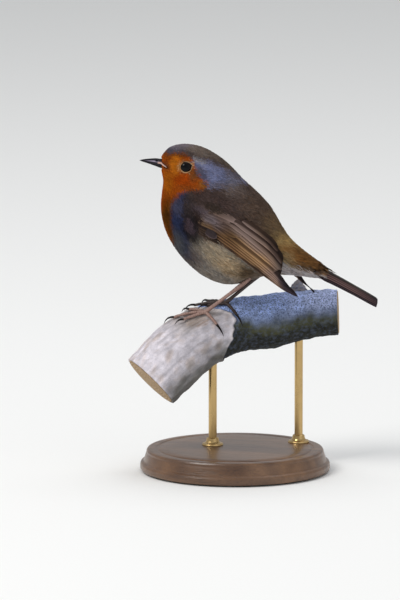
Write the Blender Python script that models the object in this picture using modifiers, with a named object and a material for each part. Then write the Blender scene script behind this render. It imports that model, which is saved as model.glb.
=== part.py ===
"""European robin (Erithacus rubecula) as a life-size still model.

The bird faces -X and stands on a cut length of branch, which two rods carry above a round base.
The row's origin is the middle of the base's underside, +Z is up and the bird's left side is at -Y.
Lengths are millimetres until MM turns them into Blender's metres.
"""

import math

import bmesh
import bpy
from mathutils import Matrix, Vector

MM = 0.001
GAP = 0.3  # clear space between neighbouring solids
FACETS = 26  # round the body

# Head: it turns towards the bird's left, about a vertical line through the neck.
HEAD_TURN = math.radians(18)
NECK_PIVOT_X = -6.6

# Body sections, bill to tail: back line (x, z), belly line (x, z), half width, share of the head's turn.
BODY = (
    ((-36.1, 152.8), (-36.0, 147.5), 2.6, 1.0),
    ((-32.4, 157.4), (-35.4, 144.4), 6.0, 1.0),
    ((-26.0, 159.2), (-34.9, 141.6), 7.8, 1.0),
    ((-18.3, 158.4), (-35.1, 138.6), 8.8, 1.0),
    ((-10.8, 155.0), (-35.7, 135.0), 9.8, 0.85),
    ((-3.9, 149.7), (-36.2, 129.7), 12.4, 0.6),
    ((3.1, 142.4), (-36.0, 122.3), 15.8, 0.25),
    ((10.3, 136.2), (-33.1, 113.4), 18.0, 0.05),
    ((16.4, 130.1), (-26.5, 103.9), 18.6, 0.0),
    ((21.0, 122.9), (-16.3, 95.5), 17.7, 0.0),
    ((25.2, 116.6), (-5.6, 91.6), 15.4, 0.0),
    ((29.4, 112.6), (4.1, 92.5), 12.2, 0.0),
    ((34.5, 108.8), (14.8, 96.5), 9.4, 0.0),
    ((41.1, 104.3), (28.0, 97.6), 7.0, 0.0),
    ((45.2, 102.3), (42.8, 96.4), 5.6, 0.0),
)
RINGS_PER_STATION = 2
HEAD_END, NECK_END, TRUNK_END, RUMP_END = 4.2, 6.0, 11.0, 14.0  # cuts, counted in stations
BROAD_BACK = 0.06  # how much wider a section is above its middle than below

# Eye: centre (x, z) along the head, and how far its ball stands from the head's mid-plane.
EYE_CENTRE = (-24.1, 148.9)
EYE_RADIUS = 3.1
EYE_OUT = 6.1
EYE_FACETS = 16

# Bill: culmen, cutting edge and keel heights, and half widths, from the face to the tip.
BILL = (
    # x, culmen z, cutting edge z, keel z, half width
    (-36.4, 152.1, 149.5, 147.6, 2.2),
    (-38.4, 152.3, 149.9, 148.3, 1.8),
    (-41.2, 152.2, 150.5, 149.3, 1.35),
    (-44.2, 151.9, 151.0, 150.3, 0.85),
    (-46.2, 151.4, 151.15, 150.9, 0.35),
)
BILL_OVERBITE = 0.5

# Folded wing, wrist to tip: lower edge (x, z), upper edge (x, z), outer face from the mid-plane,
# and how far the upper edge leans in over the back.
WING = (
    ((-22.5, 124.5), (-18.5, 133.5), 15.4, 0.10),
    ((-15.6, 116.6), (-11.2, 137.2), 18.4, 0.22),
    ((-8.8, 112.2), (-1.8, 135.0), 19.9, 0.30),
    ((-1.2, 108.4), (8.6, 129.6), 20.6, 0.34),
    ((8.0, 103.4), (17.0, 121.6), 20.3, 0.36),
    ((16.8, 98.0), (23.6, 114.4), 19.1, 0.36),
    ((22.2, 95.0), (27.6, 107.0), 17.6, 0.28),
    ((26.0, 92.8), (28.4, 101.0), 16.2, 0.14),
    ((30.4, 90.4), (31.2, 95.4), 15.2, 0.04),
    ((36.2, 88.0), (35.6, 89.8), 14.0, 0.0),
)
WING_THICKNESS = 2.4
WING_EDGE_THICKNESS = 0.8
WING_TUCK = 0.06  # how far the lower edge leans in
WING_TIP_THICKNESS = 0.45  # share of the thickness left at the tip
WING_TIP_TAPER = 0.2  # share gained for each row before it
WING_LEAN_CURVE = 2.2
WING_STRIPS = 7  # facets across the wing
COVERTS_END, TERTIALS_END = 3.2, 6.8
SEAT_REACH = 8.0  # the wings' cutters take away all the body that stands outside them

# Folded tail: centre line (x, z), half width, thickness.
TAIL = (
    ((45.0, 99.4), 5.2, 5.2),
    ((50.0, 97.0), 5.2, 3.7),
    ((59.8, 91.8), 5.5, 2.1),
    ((66.8, 87.9), 5.7, 1.6),
    ((70.6, 85.8), 5.5, 1.2),
)
TAIL_EDGE_THICKNESS = 0.25  # share of the thickness left at its edges
TAIL_STRIPS = 6  # facets across the tail
TAIL_ARCH = 2.4  # how far the tail's edges droop below its middle
TAIL_SWING = math.radians(16)  # it points a little to the bird's right
TAIL_NOTCH = 1.8  # how far the middle of its end falls short
TAIL_CORNER = 0.8  # how far its outer corners do

# Legs: where the feathered part leaves the body and where the scaly shank begins, left and right.
KNEES = {"left": Vector((0.5, -7.0, 101.5)), "right": Vector((7.2, 7.0, 104.0))}
ANKLES = {"left": Vector((6.9, -7.0, 93.2)), "right": Vector((12.6, 7.6, 97.4))}
THIGH_RADII = (4.4, 3.7, 2.8, 1.9)
TARSUS_RADII = (1.35, 0.95, 0.9, 1.1)
SHANK_SEAT = 8.0  # how far down the shank the body keeps clear of it
TOE_RADIUS = 0.85
TOE_TAPER = 0.35  # share of its radius that a toe loses on the way
SOLE_RADIUS = 1.1
CLAW_RADIUS = 0.55
CLAW_TAPER = 0.8  # share of its radius that a claw loses on the way
CLAW_ARCH = 0.9  # how far a claw rises over its line
CLAW_DROP = 0.7  # share of its height over the bark that its tip loses
# Where each sole rests: branch station, and degrees from the branch's top towards the bird's left.
SOLES = {"left": (2.72, 31.0), "right": (3.53, 27.0)}
# Which way each toe runs: 0 degrees is down the branch and 90 is round it towards the bird's left.
TOE_HEADINGS = {
    "left": {"middle": -35.0, "inner": -58.0, "outer": -14.0, "hind": 101.0},
    "right": {"middle": -35.0, "inner": -18.0, "outer": -56.0, "hind": 107.0},
}
TOE_LENGTHS = {"middle": 14.0, "inner": 8.5, "outer": 10.0, "hind": 9.0}
CLAW_LENGTHS = {"middle": 4.6, "inner": 3.8, "outer": 3.8, "hind": 5.6}

# Branch: centre line (x, y, z) and radius, cut end to cut end.
PERCH = (
    ((-38.0, -15.5, 44.2), 15.4),
    ((-28.8, -8.5, 54.9), 15.4),
    ((-20.7, -1.5, 62.0), 14.9),
    ((-12.0, 5.5, 66.8), 14.2),
    ((-1.5, 12.5, 69.9), 13.4),
    ((10.8, 18.5, 70.6), 13.2),
    ((21.4, 23.5, 72.8), 12.1),
    ((31.9, 27.5, 74.5), 11.4),
    ((42.6, 30.5, 75.0), 11.3),
)
PERCH_FACETS = 18
PERCH_RINGS_PER_STATION = 3
PERCH_BUMPS = 0.025  # swelling and shrinking of the branch, as a share of its radius

# Stand.
BASE_RADIUS = 46.0
BASE_HEIGHT = 11.0
BASE_STEP = 3.0  # how much smaller its top is
BASE_ROUNDING = 1.5
BASE_FACETS = 40
ROD_RADIUS = 2.0
ROD_STATIONS = {"front": 2.9, "rear": 6.3}  # where along the branch each rod meets it
ROD_SOCKET = 6.0  # depth of a rod in the base and in the branch

COLOURS = {
    # name: base colour, roughness, metallic
    "plumage_olive": ((0.13, 0.09, 0.055), 0.85, 0.0),
    "plumage_face": ((0.45, 0.13, 0.02), 0.85, 0.0),
    "plumage_rufous": ((0.2, 0.12, 0.05), 0.85, 0.0),
    "flight_feathers": ((0.12, 0.07, 0.04), 0.7, 0.0),
    "bill_horn": ((0.02, 0.017, 0.016), 0.35, 0.0),
    "eye": ((0.008, 0.006, 0.005), 0.08, 0.0),
    "leg_skin": ((0.35, 0.18, 0.12), 0.5, 0.0),
    "claw_horn": ((0.03, 0.02, 0.018), 0.35, 0.0),
    "bark": ((0.35, 0.31, 0.28), 0.9, 0.0),
    "base_wood": ((0.12, 0.06, 0.03), 0.45, 0.0),
    "rod_metal": ((0.6, 0.55, 0.45), 0.3, 1.0),
}


def clear_scene():
    """Removes every object of the startup scene."""
    for obj in list(bpy.data.objects):
        bpy.data.objects.remove(obj)


def make_collection(name, hidden=False):
    """A new collection in the scene."""
    made = bpy.data.collections.new(name)
    bpy.context.scene.collection.children.link(made)
    made.hide_render = hidden
    return made


def make_material(name):
    """A Principled material from COLOURS."""
    colour, roughness, metallic = COLOURS[name]
    material = bpy.data.materials.new(name)
    material.use_nodes = True
    shader = material.node_tree.nodes["Principled BSDF"]
    shader.inputs["Base Color"].default_value = (*colour, 1.0)
    shader.inputs["Roughness"].default_value = roughness
    shader.inputs["Metallic"].default_value = metallic
    return material


def new_object(name, mesh, home, material=None):
    """Links a mesh as an object in the collection home, shaded smooth away from its sharp edges."""
    obj = bpy.data.objects.new(name, mesh)
    home.objects.link(obj)
    mesh.shade_smooth()
    mesh.set_sharp_from_angle(angle=math.radians(50))
    if material:
        mesh.materials.append(material)
    return obj


def spline(rows, at):
    """Catmull-Rom value of a table of equal-length number tuples, at a position counted in rows."""
    last = len(rows) - 1
    at = min(max(at, 0.0), last)
    i = min(int(at), last - 1)
    t = at - i
    before, start, end, after = (rows[min(max(i + k, 0), last)] for k in (-1, 0, 1, 2))
    values = []
    for a, b, c, d in zip(before, start, end, after):
        bend = (2 * a - 5 * b + 4 * c - d) * t + (3 * b - a - 3 * c + d) * t * t
        values.append(b + 0.5 * t * ((c - a) + bend))
    return values


def turned(point, share):
    """A point of the straight bird, carried by the turn of its head."""
    pivot = Vector((NECK_PIVOT_X, 0.0, 0.0))
    spin = Matrix.Rotation(HEAD_TURN * share, 3, "Z")
    return spin @ (point - pivot) + pivot


def body_ring(at, shift=0.0):
    """One section of the body at a station, moved along its own normal by shift."""
    rows = [(*back, *belly, half, share) for back, belly, half, share in BODY]
    bx, bz, vx, vz, half, share = spline(rows, at)
    back, belly = Vector((bx, 0.0, bz)), Vector((vx, 0.0, vz))
    centre, up = (back + belly) / 2, (back - belly) / 2
    normal = up.cross(Vector((0.0, 1.0, 0.0))).normalized() * -1
    ring = []
    for k in range(FACETS):
        angle = math.tau * k / FACETS
        wide = half * math.sin(angle) * (1 + BROAD_BACK * math.cos(angle))
        point = centre + up * math.cos(angle) + Vector((0.0, wide, 0.0)) + normal * shift
        ring.append(turned(point, min(max(share, 0.0), 1.0)))
    return ring


def loft_mesh(name, rings):
    """A closed mesh through rings of equal counts, with a flat cap on each end ring."""
    bm = bmesh.new()
    loops = [[bm.verts.new(point * MM) for point in ring] for ring in rings]
    for first, second in zip(loops, loops[1:]):
        for k in range(len(first)):
            j = (k + 1) % len(first)
            bm.faces.new((first[k], first[j], second[j], second[k]))
    bm.faces.new(loops[0])
    bm.faces.new(loops[-1])
    bmesh.ops.recalc_face_normals(bm, faces=bm.faces)
    mesh = bpy.data.meshes.new(name)
    bm.to_mesh(mesh)
    bm.free()
    return mesh


def stations(start, end, per_station):
    """Evenly spaced positions from start to end, about per_station to each station."""
    count = max(1, round((end - start) * per_station))
    return [start + (end - start) * k / count for k in range(count + 1)]


def body_part(name, start, end, home, material):
    """The body between two stations, held back by half the gap at each cut."""
    places = stations(start, end, RINGS_PER_STATION)
    rings = [body_ring(at) for at in places]
    if start > 0:
        rings[0] = body_ring(start, GAP / 2)
    rings[-1] = body_ring(end, -GAP / 2)
    return new_object(name, loft_mesh(name, rings), home, material)


def subtract(obj, cutter):
    """Cuts a hidden cutter out of obj with a Boolean modifier."""
    modifier = obj.modifiers.new("Cut_" + cutter.name, "BOOLEAN")
    modifier.operation = "DIFFERENCE"
    modifier.object = cutter
    cutter.hide_render = True
    cutter.display_type = "WIRE"


def unite(objects):
    """Joins mesh objects into the first one with an applied Boolean union."""
    first, *others = objects
    for other in others:
        modifier = first.modifiers.new("Join", "BOOLEAN")
        modifier.operation = "UNION"
        modifier.object = other
    graph = bpy.context.evaluated_depsgraph_get()
    joined = bpy.data.meshes.new_from_object(first.evaluated_get(graph))
    first.modifiers.clear()
    first.data = joined
    for other in others:
        bpy.data.objects.remove(other)
    return first


def ball(name, centre, radius, facets, home, material=None):
    """A round ball at a point in millimetres, with so many facets round its middle."""
    bm = bmesh.new()
    bmesh.ops.create_uvsphere(bm, u_segments=facets, v_segments=facets // 2, radius=radius * MM)
    bmesh.ops.translate(bm, verts=bm.verts, vec=centre * MM)
    mesh = bpy.data.meshes.new(name)
    bm.to_mesh(mesh)
    bm.free()
    return new_object(name, mesh, home, material)


def tube(name, points, radii, home, material=None, resolution=3):
    """A closed round tube through points in millimetres, with a radius at each point."""
    curve = bpy.data.curves.new(name, "CURVE")
    curve.dimensions = "3D"
    curve.bevel_depth = MM
    curve.bevel_resolution = resolution
    curve.use_fill_caps = True
    line = curve.splines.new("POLY")
    line.points.add(len(points) - 1)
    for place, point, radius in zip(line.points, points, radii):
        place.co = (*(point * MM), 1.0)
        place.radius = radius
    guide = bpy.data.objects.new(name + "_curve", curve)
    home.objects.link(guide)
    graph = bpy.context.evaluated_depsgraph_get()
    mesh = bpy.data.meshes.new_from_object(guide.evaluated_get(graph))
    bpy.data.objects.remove(guide)
    bm = bmesh.new()
    bm.from_mesh(mesh)
    bmesh.ops.remove_doubles(bm, verts=bm.verts, dist=0.00001)
    bmesh.ops.recalc_face_normals(bm, faces=bm.faces)
    bm.to_mesh(mesh)
    bm.free()
    mesh.materials.clear()
    mesh.name = name
    return new_object(name, mesh, home, material)


def eye_centre(side):
    """Centre of the eye ball on one side, -1 for left."""
    x, z = EYE_CENTRE
    return turned(Vector((x, side * EYE_OUT, z)), 1.0)


def make_bill(home, material):
    """Upper and lower mandibles, each a loft that is flat where they meet."""
    half_facets = 7
    for name, upper in (("bill_upper", True), ("bill_lower", False)):
        rings = []
        for at in stations(0, len(BILL) - 1, 3):
            x, culmen, edge, keel, half = spline(BILL, at)
            if at == 0:
                x -= GAP
            if not upper:
                x += BILL_OVERBITE * at / (len(BILL) - 1)
            floor_z = edge + (GAP / 2 if upper else -GAP / 2)
            rise = (culmen - floor_z) if upper else (floor_z - keel)
            sign = 1 if upper else -1
            ring = []
            for k in range(half_facets + 1):
                angle = math.pi * k / half_facets - math.pi / 2
                point = Vector((x, half * math.sin(angle), floor_z + sign * rise * math.cos(angle)))
                ring.append(turned(point, 1.0))
            rings.append(ring)
        new_object(name, loft_mesh(name, rings), home, material)


def wing_ring(at, side, shift=0.0, grow=0.0, reach=0.0):
    """One section of the folded wing: out along its outer face and back along its inner one.

    A cutter grows past the wing's edges and reaches further out than its outer face.
    """
    rows = [(*low, *high, out, lean) for low, high, out, lean in WING]
    lx, lz, ux, uz, out, lean = spline(rows, at)
    low, high = Vector((lx, 0.0, lz)), Vector((ux, 0.0, uz))
    across = high - low
    along = Vector((across.z, 0.0, -across.x)).normalized()
    edge_grow = across.normalized() * grow
    outer, inner = [], []
    for k in range(WING_STRIPS + 1):
        b = k / WING_STRIPS
        place = low - edge_grow + (across + 2 * edge_grow) * b + along * shift
        y = out * (1 - lean * b**WING_LEAN_CURVE - WING_TUCK * (1 - b) ** 2)
        thick = WING_EDGE_THICKNESS + (WING_THICKNESS - WING_EDGE_THICKNESS) * math.sin(math.pi * b)
        thick *= min(1.0, WING_TIP_THICKNESS + WING_TIP_TAPER * (len(WING) - 1 - at))
        outer.append(Vector((place.x, side * (y + reach), place.z)))
        inner.append(Vector((place.x, side * (y - thick - grow), place.z)))
    return outer + inner[::-1]


def make_wings(home, cutters, materials):
    """Both folded wings in three lengths each, and the cutters that seat them in the body."""
    lengths = (
        ("coverts", 0.0, COVERTS_END, "plumage_olive"),
        ("tertials", COVERTS_END, TERTIALS_END, "flight_feathers"),
        ("primaries", TERTIALS_END, len(WING) - 1.0, "flight_feathers"),
    )
    made = []
    for word, side in (("left", -1), ("right", 1)):
        for name, start, end, slot in lengths:
            rings = [wing_ring(at, side) for at in stations(start, end, 3)]
            if start > 0:
                rings[0] = wing_ring(start, side, GAP / 2)
            if end < len(WING) - 1:
                rings[-1] = wing_ring(end, side, -GAP / 2)
            full = f"wing_{word}_{name}"
            new_object(full, loft_mesh(full, rings), home, materials[slot])
        places = stations(0.0, len(WING) - 1.0, 2)
        rings = [wing_ring(at, side, 0.0, GAP, SEAT_REACH) for at in places]
        rings[0] = wing_ring(0.0, side, -GAP, GAP, SEAT_REACH)
        rings[-1] = wing_ring(len(WING) - 1.0, side, GAP, GAP, SEAT_REACH)
        made.append(new_object("seat_" + word, loft_mesh("seat_" + word, rings), cutters))
    return made


def make_tail(home, material):
    """The closed tail: an arched blade that swings to one side and ends in a shallow notch."""
    last = len(TAIL) - 1
    base = Vector((TAIL[0][0][0], 0.0, 0.0))
    swing = Matrix.Rotation(TAIL_SWING, 3, "Z")
    rows = [(*centre, half, thick) for centre, half, thick in TAIL]
    rings = []
    for at in stations(0, last, 3):
        cx, cz, half, thick = spline(rows, at)
        run = Vector(spline(rows, at + 0.1)[:2]) - Vector(spline(rows, at - 0.1)[:2])
        rise = Vector((-run.y, 0.0, run.x)).normalized()
        ending = max(0.0, at - last + 1) ** 2
        top, under = [], []
        for k in range(TAIL_STRIPS + 1):
            b = 2 * k / TAIL_STRIPS - 1
            full = math.sqrt(max(0.0, 1 - b * b))
            edge = TAIL_EDGE_THICKNESS + (1 - TAIL_EDGE_THICKNESS) * full
            short = ending * (TAIL_NOTCH * (1 - b * b) + TAIL_CORNER * b**6)
            x = cx - short + (GAP if at == 0 else 0.0)
            middle = Vector((x, half * b, cz - TAIL_ARCH * b * b))
            top.append(swing @ (middle + rise * thick * edge / 2 - base) + base)
            under.append(swing @ (middle - rise * thick * edge / 2 - base) + base)
        rings.append(top + under[::-1])
    return new_object("tail", loft_mesh("tail", rings), home, material)


def perch_frame(at):
    """Centre, radius and the along, up and left directions of the branch at a station."""
    rows = [(*centre, radius) for centre, radius in PERCH]
    x, y, z, radius = spline(rows, at)
    step = 0.05
    before, after = spline(rows, at - step), spline(rows, at + step)
    along = (Vector(after[:3]) - Vector(before[:3])).normalized()
    left = along.cross(Vector((0.0, 0.0, 1.0))).normalized()
    up = left.cross(along)
    return Vector((x, y, z)), radius, along, up, left


def perch_radius(at, angle):
    """The branch's radius at a station and angle, with its slow swellings."""
    radius = perch_frame(at)[1]
    wave = math.sin(2 * angle + 1.3 * at) + 0.6 * math.sin(3 * angle - 2.1 * at + 1.0)
    return radius * (1 + PERCH_BUMPS * wave)


def on_perch(at, degrees, lift):
    """A point above the bark: degrees run from the branch's top towards the bird's left."""
    centre, _, _, up, left = perch_frame(at)
    angle = math.radians(degrees)
    out = up * math.cos(angle) + left * math.sin(angle)
    return centre + out * (perch_radius(at, angle) + lift)


def make_perch(home, material):
    """The cut branch, with flat sawn ends."""
    rings = []
    for at in stations(0, len(PERCH) - 1, PERCH_RINGS_PER_STATION):
        turn = [360.0 * k / PERCH_FACETS for k in range(PERCH_FACETS)]
        rings.append([on_perch(at, degrees, 0.0) for degrees in turn])
    return new_object("perch", loft_mesh("perch", rings), home, material)


def walk(start, heading, length, lifts):
    """Points over the bark along an even spiral from a (station, degrees) place, one for each lift."""
    at, degrees = start
    step = length / (len(lifts) - 1)
    points = [on_perch(at, degrees, lifts[0])]
    for lift in lifts[1:]:
        stretch = (perch_frame(at + 0.05)[0] - perch_frame(at - 0.05)[0]).length / 0.1
        at -= step * math.cos(math.radians(heading)) / stretch
        radius = perch_radius(at, math.radians(degrees))
        degrees += math.degrees(step * math.sin(math.radians(heading)) / radius)
        points.append(on_perch(at, degrees, lift))
    return points, (at, degrees)


def make_thigh(word, home, cutters, material):
    """The feathered lower leg of one side. Returns the cutters that seat the leg in the body."""
    knee, ankle = KNEES[word], ANKLES[word]
    end = ankle - (ankle - knee).normalized() * (TARSUS_RADII[0] + GAP)
    last = len(THIGH_RADII) - 1
    line = [knee.lerp(end, k / last) for k in range(last + 1)]
    tube("thigh_" + word, line, THIGH_RADII, home, material, 4)
    lead = (ankle - knee).normalized() * GAP
    wider = [radius + GAP for radius in THIGH_RADII]
    seat = tube("thigh_seat_" + word, [line[0] - lead, *line[1:-1], line[-1] + lead], wider, cutters)
    down = (on_perch(*SOLES[word], TOE_RADIUS + GAP) - ankle).normalized()
    shank = [ankle - down * (TARSUS_RADII[0] + GAP), ankle + down * SHANK_SEAT]
    return seat, tube("shank_seat_" + word, shank, [TARSUS_RADII[0] + GAP] * 2, cutters)


def make_shank_and_foot(word, home, materials):
    """The scaly shank, the foot with its toes round the branch, and the claws of one leg."""
    skin = materials["leg_skin"]
    lift = TOE_RADIUS + GAP
    sole = on_perch(*SOLES[word], lift)
    down = (sole - ANKLES[word]).normalized()
    top = ANKLES[word] - down * TARSUS_RADII[0]
    end = sole - down * (SOLE_RADIUS + GAP)
    last = len(TARSUS_RADII) - 1
    shank = [top.lerp(end, k / last) for k in range(last + 1)]
    tube("tarsus_" + word, shank, TARSUS_RADII, home, skin, 3)

    pieces = [ball("foot_" + word, sole, SOLE_RADIUS, 10, home)]
    for toe, heading in TOE_HEADINGS[word].items():
        steps = 6
        line, place = walk(SOLES[word], heading, TOE_LENGTHS[toe], [lift] * (steps + 1))
        radii = [TOE_RADIUS * (1 - TOE_TAPER * k / steps) for k in range(steps + 1)]
        pieces.append(tube(f"toe_{toe}_{word}", line, radii, home, None, 2))
        make_claw(f"claw_{word}_{toe}", place, heading, CLAW_LENGTHS[toe], home, materials["claw_horn"])
    foot = unite(pieces)
    foot.data.materials.clear()
    foot.data.materials.append(skin)


def make_claw(name, place, heading, length, home, material):
    """A claw that goes on from its toe, arches over and comes down to the bark."""
    steps = 5
    radii = [CLAW_RADIUS * (1 - CLAW_TAPER * k / steps) for k in range(steps + 1)]
    lifts = []
    for k in range(steps + 1):
        t = k / steps
        lifts.append((TOE_RADIUS + GAP) * (1 - CLAW_DROP * t * t) + CLAW_ARCH * math.sin(math.pi * t))
    _, start = walk(place, heading, GAP, [0.0, 0.0])
    line, _ = walk(start, heading, length, lifts)
    tube(name, line, radii, home, material, 2)


def make_stand(home, cutters, materials, perch):
    """The turned base and the two rods, each let into the base and into the branch."""
    bm = bmesh.new()
    made = bmesh.ops.create_cone(
        bm,
        cap_ends=True,
        segments=BASE_FACETS,
        radius1=BASE_RADIUS * MM,
        radius2=(BASE_RADIUS - BASE_STEP) * MM,
        depth=BASE_HEIGHT * MM,
    )
    bmesh.ops.translate(bm, verts=made["verts"], vec=(0, 0, BASE_HEIGHT * MM / 2))
    mesh = bpy.data.meshes.new("stand_base")
    bm.to_mesh(mesh)
    bm.free()
    base = new_object("stand_base", mesh, home, materials["base_wood"])
    bevel = base.modifiers.new("Rounded_rim", "BEVEL")
    bevel.width = BASE_ROUNDING * MM
    bevel.segments = 2
    bevel.limit_method = "ANGLE"
    for word, at in ROD_STATIONS.items():
        centre, radius, *_ = perch_frame(at)
        bottom = BASE_HEIGHT - ROD_SOCKET
        top = centre.z - radius + ROD_SOCKET
        ends = [Vector((centre.x, centre.y, height)) for height in (bottom, top)]
        tube("stand_rod_" + word, ends, (ROD_RADIUS,) * 2, home, materials["rod_metal"], 4)
        grow = Vector((0, 0, GAP))
        wide = (ROD_RADIUS + GAP / 2,) * 2
        seat = tube("rod_seat_" + word, [ends[0] - grow, ends[1] + grow], wide, cutters, None, 4)
        subtract(base, seat)
        subtract(perch, seat)


def main():
    clear_scene()
    home = make_collection("european_robin")
    cutters = make_collection("cutters", hidden=True)
    materials = {name: make_material(name) for name in COLOURS}
    olive = materials["plumage_olive"]

    head = body_part("head", 0.0, HEAD_END, home, materials["plumage_face"])
    neck = body_part("neck", HEAD_END, NECK_END, home, olive)
    trunk = body_part("trunk", NECK_END, TRUNK_END, home, olive)
    rump = body_part("rump", TRUNK_END, RUMP_END, home, materials["plumage_rufous"])
    make_bill(home, materials["bill_horn"])
    for word, side in (("left", -1), ("right", 1)):
        ball("eye_" + word, eye_centre(side), EYE_RADIUS, EYE_FACETS, home, materials["eye"])
        socket = ball("socket_" + word, eye_centre(side), EYE_RADIUS + GAP, EYE_FACETS, cutters)
        subtract(head, socket)
    for seat in make_wings(home, cutters, materials):
        for obj in (neck, trunk, rump):
            subtract(obj, seat)
    make_tail(home, materials["flight_feathers"])

    perch = make_perch(home, materials["bark"])
    for word in ("left", "right"):
        for seat in make_thigh(word, home, cutters, olive):
            subtract(trunk, seat)
            subtract(rump, seat)
        make_shank_and_foot(word, home, materials)
    make_stand(home, cutters, materials, perch)


main()
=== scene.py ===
"""The looks of a life-size European robin that perches on a cut length of branch, on a display stand.

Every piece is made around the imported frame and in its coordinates: the bird faces -X with its head turned
a little to its left, its left side faces -Y, +Z is up, and the base stands on z = 0. Sizes are given in
millimetres and become metres where a mesh is made.
"""
import logging
import math
from dataclasses import dataclass, field
from enum import Enum
from typing import Callable, Sequence

import bmesh
import bpy
import numpy as np
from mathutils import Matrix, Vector
from mathutils.bvhtree import BVHTree
from mathutils.kdtree import KDTree


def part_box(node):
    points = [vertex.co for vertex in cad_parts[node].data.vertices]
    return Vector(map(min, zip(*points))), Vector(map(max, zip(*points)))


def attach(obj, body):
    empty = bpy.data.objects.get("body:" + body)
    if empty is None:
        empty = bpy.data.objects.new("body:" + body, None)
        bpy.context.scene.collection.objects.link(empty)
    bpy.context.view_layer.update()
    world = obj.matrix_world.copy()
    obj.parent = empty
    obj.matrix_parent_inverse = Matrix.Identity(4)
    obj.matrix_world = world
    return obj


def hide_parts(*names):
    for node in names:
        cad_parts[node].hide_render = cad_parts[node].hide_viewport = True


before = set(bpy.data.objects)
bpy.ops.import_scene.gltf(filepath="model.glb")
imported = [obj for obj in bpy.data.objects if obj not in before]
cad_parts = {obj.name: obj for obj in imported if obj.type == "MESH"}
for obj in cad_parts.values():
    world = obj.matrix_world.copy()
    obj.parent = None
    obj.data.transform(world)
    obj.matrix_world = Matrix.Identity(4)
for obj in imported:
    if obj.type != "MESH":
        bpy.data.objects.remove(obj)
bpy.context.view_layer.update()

LOG = logging.getLogger("robin")
MM = 0.001
WELD = 1e-6
PATTERN_MAP = "pattern"
BAKE_MAP = "OFBake"

Array = np.ndarray
Object = bpy.types.Object
Socket = bpy.types.NodeSocket
Colour = tuple[float, float, float]
Line = tuple[tuple[float, float], ...]
Place = Callable[[Array, Array], Array]

UP = np.array([0, 0, 1])


class Side(Enum):
    """The bird's two sides, by the sign of Y."""

    LEFT = -1
    RIGHT = 1

    @property
    def word(self) -> str:
        """The side's name as the frame's nodes spell it."""
        return self.name.lower()


class Slot(Enum):
    """The record's material slots."""

    FACE = "plumage_face"
    OLIVE = "plumage_olive"
    RUFOUS = "plumage_rufous"
    FLIGHT = "flight_feathers"
    HORN = "bill_horn"
    EYE = "eye"
    LEG = "leg_skin"
    CLAW = "claw_horn"
    BARK = "bark"
    WOOD = "base_wood"
    METAL = "rod_metal"


# --- Arithmetic ---


def soft_step(low: float, high: float, values: Array) -> Array:
    """A smooth step from 0 where values reach low to 1 where they reach high."""
    share = np.clip((np.asarray(values, float) - low) / (high - low), 0, 1)
    return share * share * (3 - 2 * share)


def unit(vectors: Array) -> Array:
    """The same directions, each one unit long."""
    return vectors / np.maximum(np.linalg.norm(vectors, axis=-1, keepdims=True), 1e-12)


def lengths(vectors: Array) -> Array:
    """How long each vector is."""
    return np.linalg.norm(vectors, axis=1)


def stack(*columns: Array) -> Array:
    """Columns of numbers side by side, each spread to the same length."""
    return np.stack(np.broadcast_arrays(*columns), axis=-1).astype(float)


def read(line: Line, at: Array) -> Array:
    """The values of a line of (place, value) corners at the given places."""
    return np.interp(at, *np.transpose(line))


def over(colour: Array | Colour, other: Array | Colour, share: Array) -> Array:
    """Rows of colour with another colour laid over them, by shares from 0 to 1."""
    share = np.clip(share, 0, 1)[:, None]
    return np.asarray(colour) * (1 - share) + np.asarray(other) * share


def spline(rows: Sequence[Sequence[float]], at: Array) -> Array:
    """Catmull-Rom values of a table, at positions counted in rows.

    Args:
        rows: Equal rows of numbers, at least two.
        at: Positions from 0 to the last row.

    Returns:
        One row of numbers for each position.
    """
    table = np.asarray(rows, float)
    last = len(table) - 1
    at = np.clip(np.asarray(at, float), 0, last)
    index = np.minimum(at.astype(int), last - 1)
    share = (at - index)[..., None]
    before, start, end, after = (table[np.clip(index + k, 0, last)] for k in (-1, 0, 1, 2))
    bend = (2 * before - 5 * start + 4 * end - after) * share
    bend = bend + (3 * start - before - 3 * end + after) * share * share
    return start + 0.5 * share * (end - before + bend)


@dataclass(frozen=True)
class Grain:
    """A smooth unevenness over space that is the same in each run: waves that cross each other."""

    wavelength: float
    seed: int
    waves: int = 8

    def __call__(self, points: Array) -> Array:
        """The unevenness at each point, mostly between -1 and 1."""
        rng = np.random.default_rng(self.seed)
        ways = unit(rng.normal(size=(self.waves, 3)))
        lengths = self.wavelength * rng.uniform(0.6, 1.7, self.waves)
        phases = points @ (ways / lengths[:, None]).T * math.tau + rng.uniform(0, math.tau, self.waves)
        return np.sin(phases).sum(axis=1) / math.sqrt(self.waves)


# --- The pose of the head ---

HEAD_TURN = math.radians(18)
NECK_PIVOT = np.array([-6.6, 0, 0])
NECK_AXIS = np.array([-0.5, 0, 0.866])  # up the neck, out of the shoulders
NECK_SHARES = ((110, 0), (113.8, 0.05), (122.9, 0.25), (131, 0.6), (137.2, 0.85), (142, 1))  # height, share
EYE_CENTRE = np.array([-24.1, 6.1, 148.9])  # of the right eye, with the head straight
EYE_RADIUS = 3.1


def turn_about(points: Array, pivot_x: float, angles: Array | float) -> Array:
    """Points turned about the upright line through (pivot_x, 0).

    Args:
        points: Rows of x, y, z in millimetres.
        pivot_x: Where the line stands.
        angles: Radians, one for all points or one for each.

    Returns:
        The turned rows.
    """
    x, y = points[..., 0] - pivot_x, points[..., 1]
    cos, sin = np.cos(angles), np.sin(angles)
    return stack(x * cos - y * sin + pivot_x, x * sin + y * cos, points[..., 2])


def turn_head(points: Array) -> Array:
    """Points of the straight head, carried to where the bird holds it."""
    return turn_about(np.asarray(points, float), NECK_PIVOT[0], HEAD_TURN)


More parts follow.
